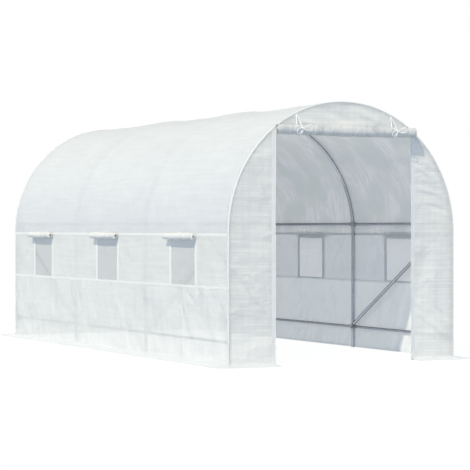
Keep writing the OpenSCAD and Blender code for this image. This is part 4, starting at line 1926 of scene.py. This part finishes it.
@dataclass
class DoorTies:
    """Two tape ties with bows that hold the rolled door up."""

    shape: TunnelShape
    finishes: Finishes
    width: float = 0.0062
    thickness: float = 0.0034
    tape_sides: int = 10
    tape_squareness: float = 0.6
    roll_gap: float = 0.002
    roll_lift: float = 0.001
    top_drop: float = 0.002
    tie_half: float = 0.004
    panel_gap: float = 0.003
    aside: float = -0.009
    lean: Pair = (-0.030, 0.006)
    strand_gap: float = 0.006
    meet_lift: float = 0.0015
    under_lift: float = 0.0012
    knot_across: float = 0.014
    knot_angle: float = 176.0
    knot_lift: float = 0.005
    knot_half: Point = (0.0095, 0.0070, 0.0078)
    knot_swell: float = 0.16
    knot_waves: tuple[int, int] = (2, 5)
    knot_pole: float = 0.04
    knot_grid: tuple[int, int] = (14, 16)
    strand_steps: int = 24
    under_steps: int = 30
    bow_steps: int = 40
    radius: float = field(init=False)
    middle: Vector = field(init=False)
    top: float = field(init=False)
    tie_x: float = field(init=False)
    meet: float = field(init=False)

    # Turn under the roll: share of the way back from the knot, and angle round the roll
    UNDER = ((0.3, 195), (0.7, 235), (0.9, 275), (1.0, 330))

    # Free ends of a bow: distances from the knot across the door, up, and out from the roll
    BOW = {
        "long_loop": (
            (0.006, 0.002, 0.003), (0.026, 0.021, 0.014), (0.050, 0.030, 0.020),
            (0.070, 0.019, 0.021), (0.067, -0.002, 0.019), (0.045, -0.011, 0.015),
            (0.021, -0.009, 0.010), (0.006, -0.002, 0.003),
        ),
        "short_loop": (
            (-0.006, 0.001, 0.003), (-0.024, 0.003, 0.012), (-0.050, -0.006, 0.017),
            (-0.062, -0.026, 0.017), (-0.048, -0.040, 0.014), (-0.023, -0.023, 0.010),
            (-0.006, -0.003, 0.003),
        ),
        "tail": (
            (-0.003, -0.005, 0.003), (-0.010, -0.020, 0.008), (-0.024, -0.040, 0.009),
            (-0.043, -0.060, 0.005),
        ),
    }

    def __post_init__(self) -> None:
        """Finds the door roll and the tops of the ties."""
        low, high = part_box("door_roll")
        half = (high.y - low.y) / 2
        self.radius = half + self.roll_gap
        self.middle = Vector((0.0, (low.y + high.y) / 2, low.z + half + self.roll_lift))
        tie_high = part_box("door_ties")[1]
        self.top = tie_high.z - self.top_drop
        self.tie_x = tie_high.x - self.tie_half
        hang = Vector((self.shape.front - self.middle.y, self.top - self.middle.z))
        self.meet = math.degrees(
            math.atan2(hang.y, hang.x) + math.acos(self.radius / hang.length))

    def on_roll(self, x: float, angle: float, lift: float) -> Point:
        """A point on the roll.

        Args:
            x: place across the door.
            angle: degrees from the wall over the top to the front of the roll.
            lift: distance outside the roll.

        Returns:
            The point.
        """
        turn, reach = math.radians(angle), self.radius + lift
        return x, self.middle.y + reach * math.cos(turn), self.middle.z + reach * math.sin(turn)

    def ribbon(self, name: str, path: Array) -> bpy.types.Object:
        """Makes a flat tape along a path, its face turned away from the roll.

        Args:
            name: name of the piece.
            path: points along the tape.

        Returns:
            The tape.
        """
        run = np.gradient(path, axis=0)
        run /= np.linalg.norm(run, axis=1)[:, None]
        away = path - np.array(self.middle)
        away[:, 0] = 0.0
        face = away - (away * run).sum(axis=1)[:, None] * run
        face /= np.linalg.norm(face, axis=1)[:, None]
        wide = np.cross(face, run)
        angles = ring_angles(self.tape_sides)
        square = np.sign(np.cos(angles)) * np.abs(np.cos(angles)) ** self.tape_squareness
        rings = (
            path[:, None, :]
            + wide[:, None, :] * (self.width / 2 * square)[None, :, None]
            + face[:, None, :] * (self.thickness / 2 * np.sin(angles))[None, :, None]
        )
        return Mesher.sweep(name, rings)

    def knot(self, name: str, at: Point) -> bpy.types.Object:
        """Makes the lump of tape where the bow is tied.

        Args:
            name: name of the piece.
            at: its middle.

        Returns:
            The knot.
        """
        count, sides = self.knot_grid
        polar = np.linspace(self.knot_pole, math.pi - self.knot_pole, count)[:, None]
        around = ring_angles(sides)[None, :]
        waves = np.cos(self.knot_waves[0] * around + self.knot_waves[1] * polar)
        swell = 1.0 + self.knot_swell * waves * np.sin(polar)
        lump = (
            np.cos(polar) * np.ones_like(around),
            np.sin(polar) * swell * np.cos(around),
            np.sin(polar) * swell * np.sin(around),
        )
        rings = np.stack(lump, axis=-1) * np.array(self.knot_half) + np.array(at)
        return Mesher.sweep(name, rings[:, ::-1])

    def build_tie(self, name: str, x: float) -> None:
        """Makes one tie: two strands, a turn under the roll, the knot, two loops and a tail.

        Args:
            name: start of the names of its pieces.
            x: place of its upper end across the door.
        """
        knot = self.on_roll(x + self.knot_across, self.knot_angle, self.knot_lift)
        strands = []
        for k, lean in enumerate(self.lean):
            first = (x + self.strand_gap * k, self.shape.front - self.panel_gap, self.top)
            meet = self.on_roll(x + lean, self.meet, self.meet_lift)
            middle = tuple((a + b) / 2 for a, b in zip(first, meet))
            path = smooth_path([first, middle, meet, knot], self.strand_steps)
            strands.append(self.ribbon(f"strand_{k}", path))
        under = [
            self.on_roll(x + self.knot_across * (1 - share), angle, self.under_lift)
            for share, angle in self.UNDER
        ]
        path = smooth_path([knot, *under], self.under_steps)
        strands.append(self.ribbon("strand_under", path))
        band = Mesher.join(f"{name}_tie", [*strands, self.knot("knot", knot)])
        keep(band, self.finishes.tie, Slot.TAPE, *(("door_ties",) if x < 0 else ()))
        for kind, shifts in self.BOW.items():
            self.bow_end(f"{name}_tie_{kind}", knot, shifts)

    def bow_end(self, name: str, knot: Point, shifts: Sequence[Point]) -> None:
        """Makes one free end of a bow.

        Args:
            name: name of the piece.
            knot: middle of the knot.
            shifts: its points, as distances from the knot across, up and out.
        """
        route = [(knot[0] + dx, knot[1] - out, knot[2] + dz) for dx, dz, out in shifts]
        path = smooth_path(route, self.bow_steps)
        piece = keep(self.ribbon(name, path), self.finishes.tie, Slot.TAPE)

    def build(self) -> None:
        """Makes both ties."""
        self.build_tie("left", self.aside - self.tie_x)
        self.build_tie("right", self.aside + self.tie_x)


@dataclass
class Studio:
    """Floor, world, sun and camera."""

    camera_at: Point = (-7.064, -14.082, 1.035)
    camera_yaw: float = 27.344
    camera_pitch: float = -0.238
    lens: float = 137.60
    sensor_width: float = 36.0
    clip_end: float = 300.0
    sun_way: Point = (1.0, 0.65, -1.32)
    sun_strength: float = 3.3
    sun_angle: float = 0.8
    sun_colour: Point = (1.0, 0.92, 0.72)
    white: Colour = tone(1.0, 1.0, 1.0)
    ambient: Colour = tone(0.654, 0.769, 1.0)
    horizon_strength: float = 1.35
    zenith_strength: float = 0.0
    floor_half: float = 60.0
    floor_drop: float = 0.0005
    floor_tone: Colour = tone(0.38, 0.46, 0.52)
    floor_glow: float = 1.05
    floor_glow_share: float = 0.20
    floor_seen_share: float = 0.93

    @staticmethod
    def seen(graph: Graph) -> bpy.types.NodeSocket:
        """A mask for what the camera sees.

        Args:
            graph: graph of the material or world.

        Returns:
            1 for rays that reach the camera, straight or by way of metal and glass.
        """
        path = graph.node("ShaderNodeLightPath").outputs
        mirrored = graph.math("MAXIMUM", path["Is Glossy Ray"], path["Is Transmission Ray"])
        return graph.math("MAXIMUM", path["Is Camera Ray"], mirrored)

    def world(self) -> None:
        """Makes a world that is white to the eye and lights the tunnel softly."""
        made = bpy.data.worlds.new("studio_world")
        made.use_nodes = True
        bpy.context.scene.world = made
        graph = Graph(made.node_tree)
        height = graph.split(graph.node("ShaderNodeTexCoord").outputs["Generated"])[2]
        above = graph.math("MAXIMUM", height, 0.0)
        strength = graph.ramp(above, self.horizon_strength, self.zenith_strength)
        kind = "ShaderNodeBackground"
        light = graph.shader(kind, {"Color": self.ambient, "Strength": strength})
        white = graph.shader(kind, {"Color": self.white, "Strength": 1.0})
        mixed = graph.blend(self.seen(graph), light, white)
        graph.node("ShaderNodeOutputWorld", {"Surface": mixed})

    def floor(self) -> None:
        """Makes a pale floor that looks white but keeps the tunnel's shadow."""
        half = self.floor_half
        outline = ((-half, -half, 0), (half, -half, 0), (half, half, 0), (-half, half, 0))
        piece = Mesher.solid("studio_floor", np.array(outline, float), [[0, 1, 2, 3]])
        made, graph = Graph.of_material("studio_floor")
        matt = graph.shader("ShaderNodeBsdfDiffuse", {"Color": self.floor_tone})
        glow = graph.shader(
            "ShaderNodeEmission", {"Color": self.white, "Strength": self.floor_glow})
        share = graph.ramp(self.seen(graph), self.floor_glow_share, self.floor_seen_share)
        graph.surface(graph.blend(share, matt, glow))
        piece.data.materials.append(made)
        piece.location.z = -self.floor_drop

    def sun(self) -> None:
        """Makes the warm lamp that throws the shadows of the rolls."""
        lamp = bpy.data.lights.new("sun", "SUN")
        lamp.energy = self.sun_strength
        lamp.angle = math.radians(self.sun_angle)
        lamp.color = self.sun_colour
        holder = bpy.data.objects.new("sun", lamp)
        holder.rotation_mode = "QUATERNION"
        holder.rotation_quaternion = Vector(self.sun_way).to_track_quat("-Z", "Y")
        bpy.context.scene.collection.objects.link(holder)

    def camera(self) -> None:
        """Makes the camera at the photograph's viewing angle."""
        lens = bpy.data.cameras.new("camera")
        lens.lens = self.lens
        lens.sensor_width = self.sensor_width
        lens.clip_end = self.clip_end
        holder = bpy.data.objects.new("camera", lens)
        holder.location = self.camera_at
        turn = (90 + self.camera_pitch, 0.0, -self.camera_yaw)
        holder.rotation_euler = tuple(math.radians(angle) for angle in turn)
        bpy.context.scene.collection.objects.link(holder)
        bpy.context.scene.camera = holder

    def build(self) -> None:
        """Makes the whole studio."""
        bpy.context.scene.view_settings.view_transform = "Standard"
        self.camera()
        self.world()
        self.floor()
        self.sun()


def main() -> None:
    """Builds the studio and every part of the tunnel."""
    logging.basicConfig(level=logging.INFO, format="%(name)s %(message)s")
    Studio().build()
    shape = TunnelShape.from_frame()
    finishes = Finishes()
    cover = CoverSurface(shape)
    front = EndSurface(shape, outward=-1, seed=41, creases=FRONT_CREASES)
    back = EndSurface(shape, outward=1, seed=53)
    steel = SteelFrame(shape, finishes)
    steel.dress()
    steel.build()
    FilmCover(shape, cover, front, back, finishes).build()
    WindowNets(shape, cover, finishes).build()
    RolledFlaps(finishes).build()
    DoorTies(shape, finishes).build()


if __name__ == "__main__":
    main()
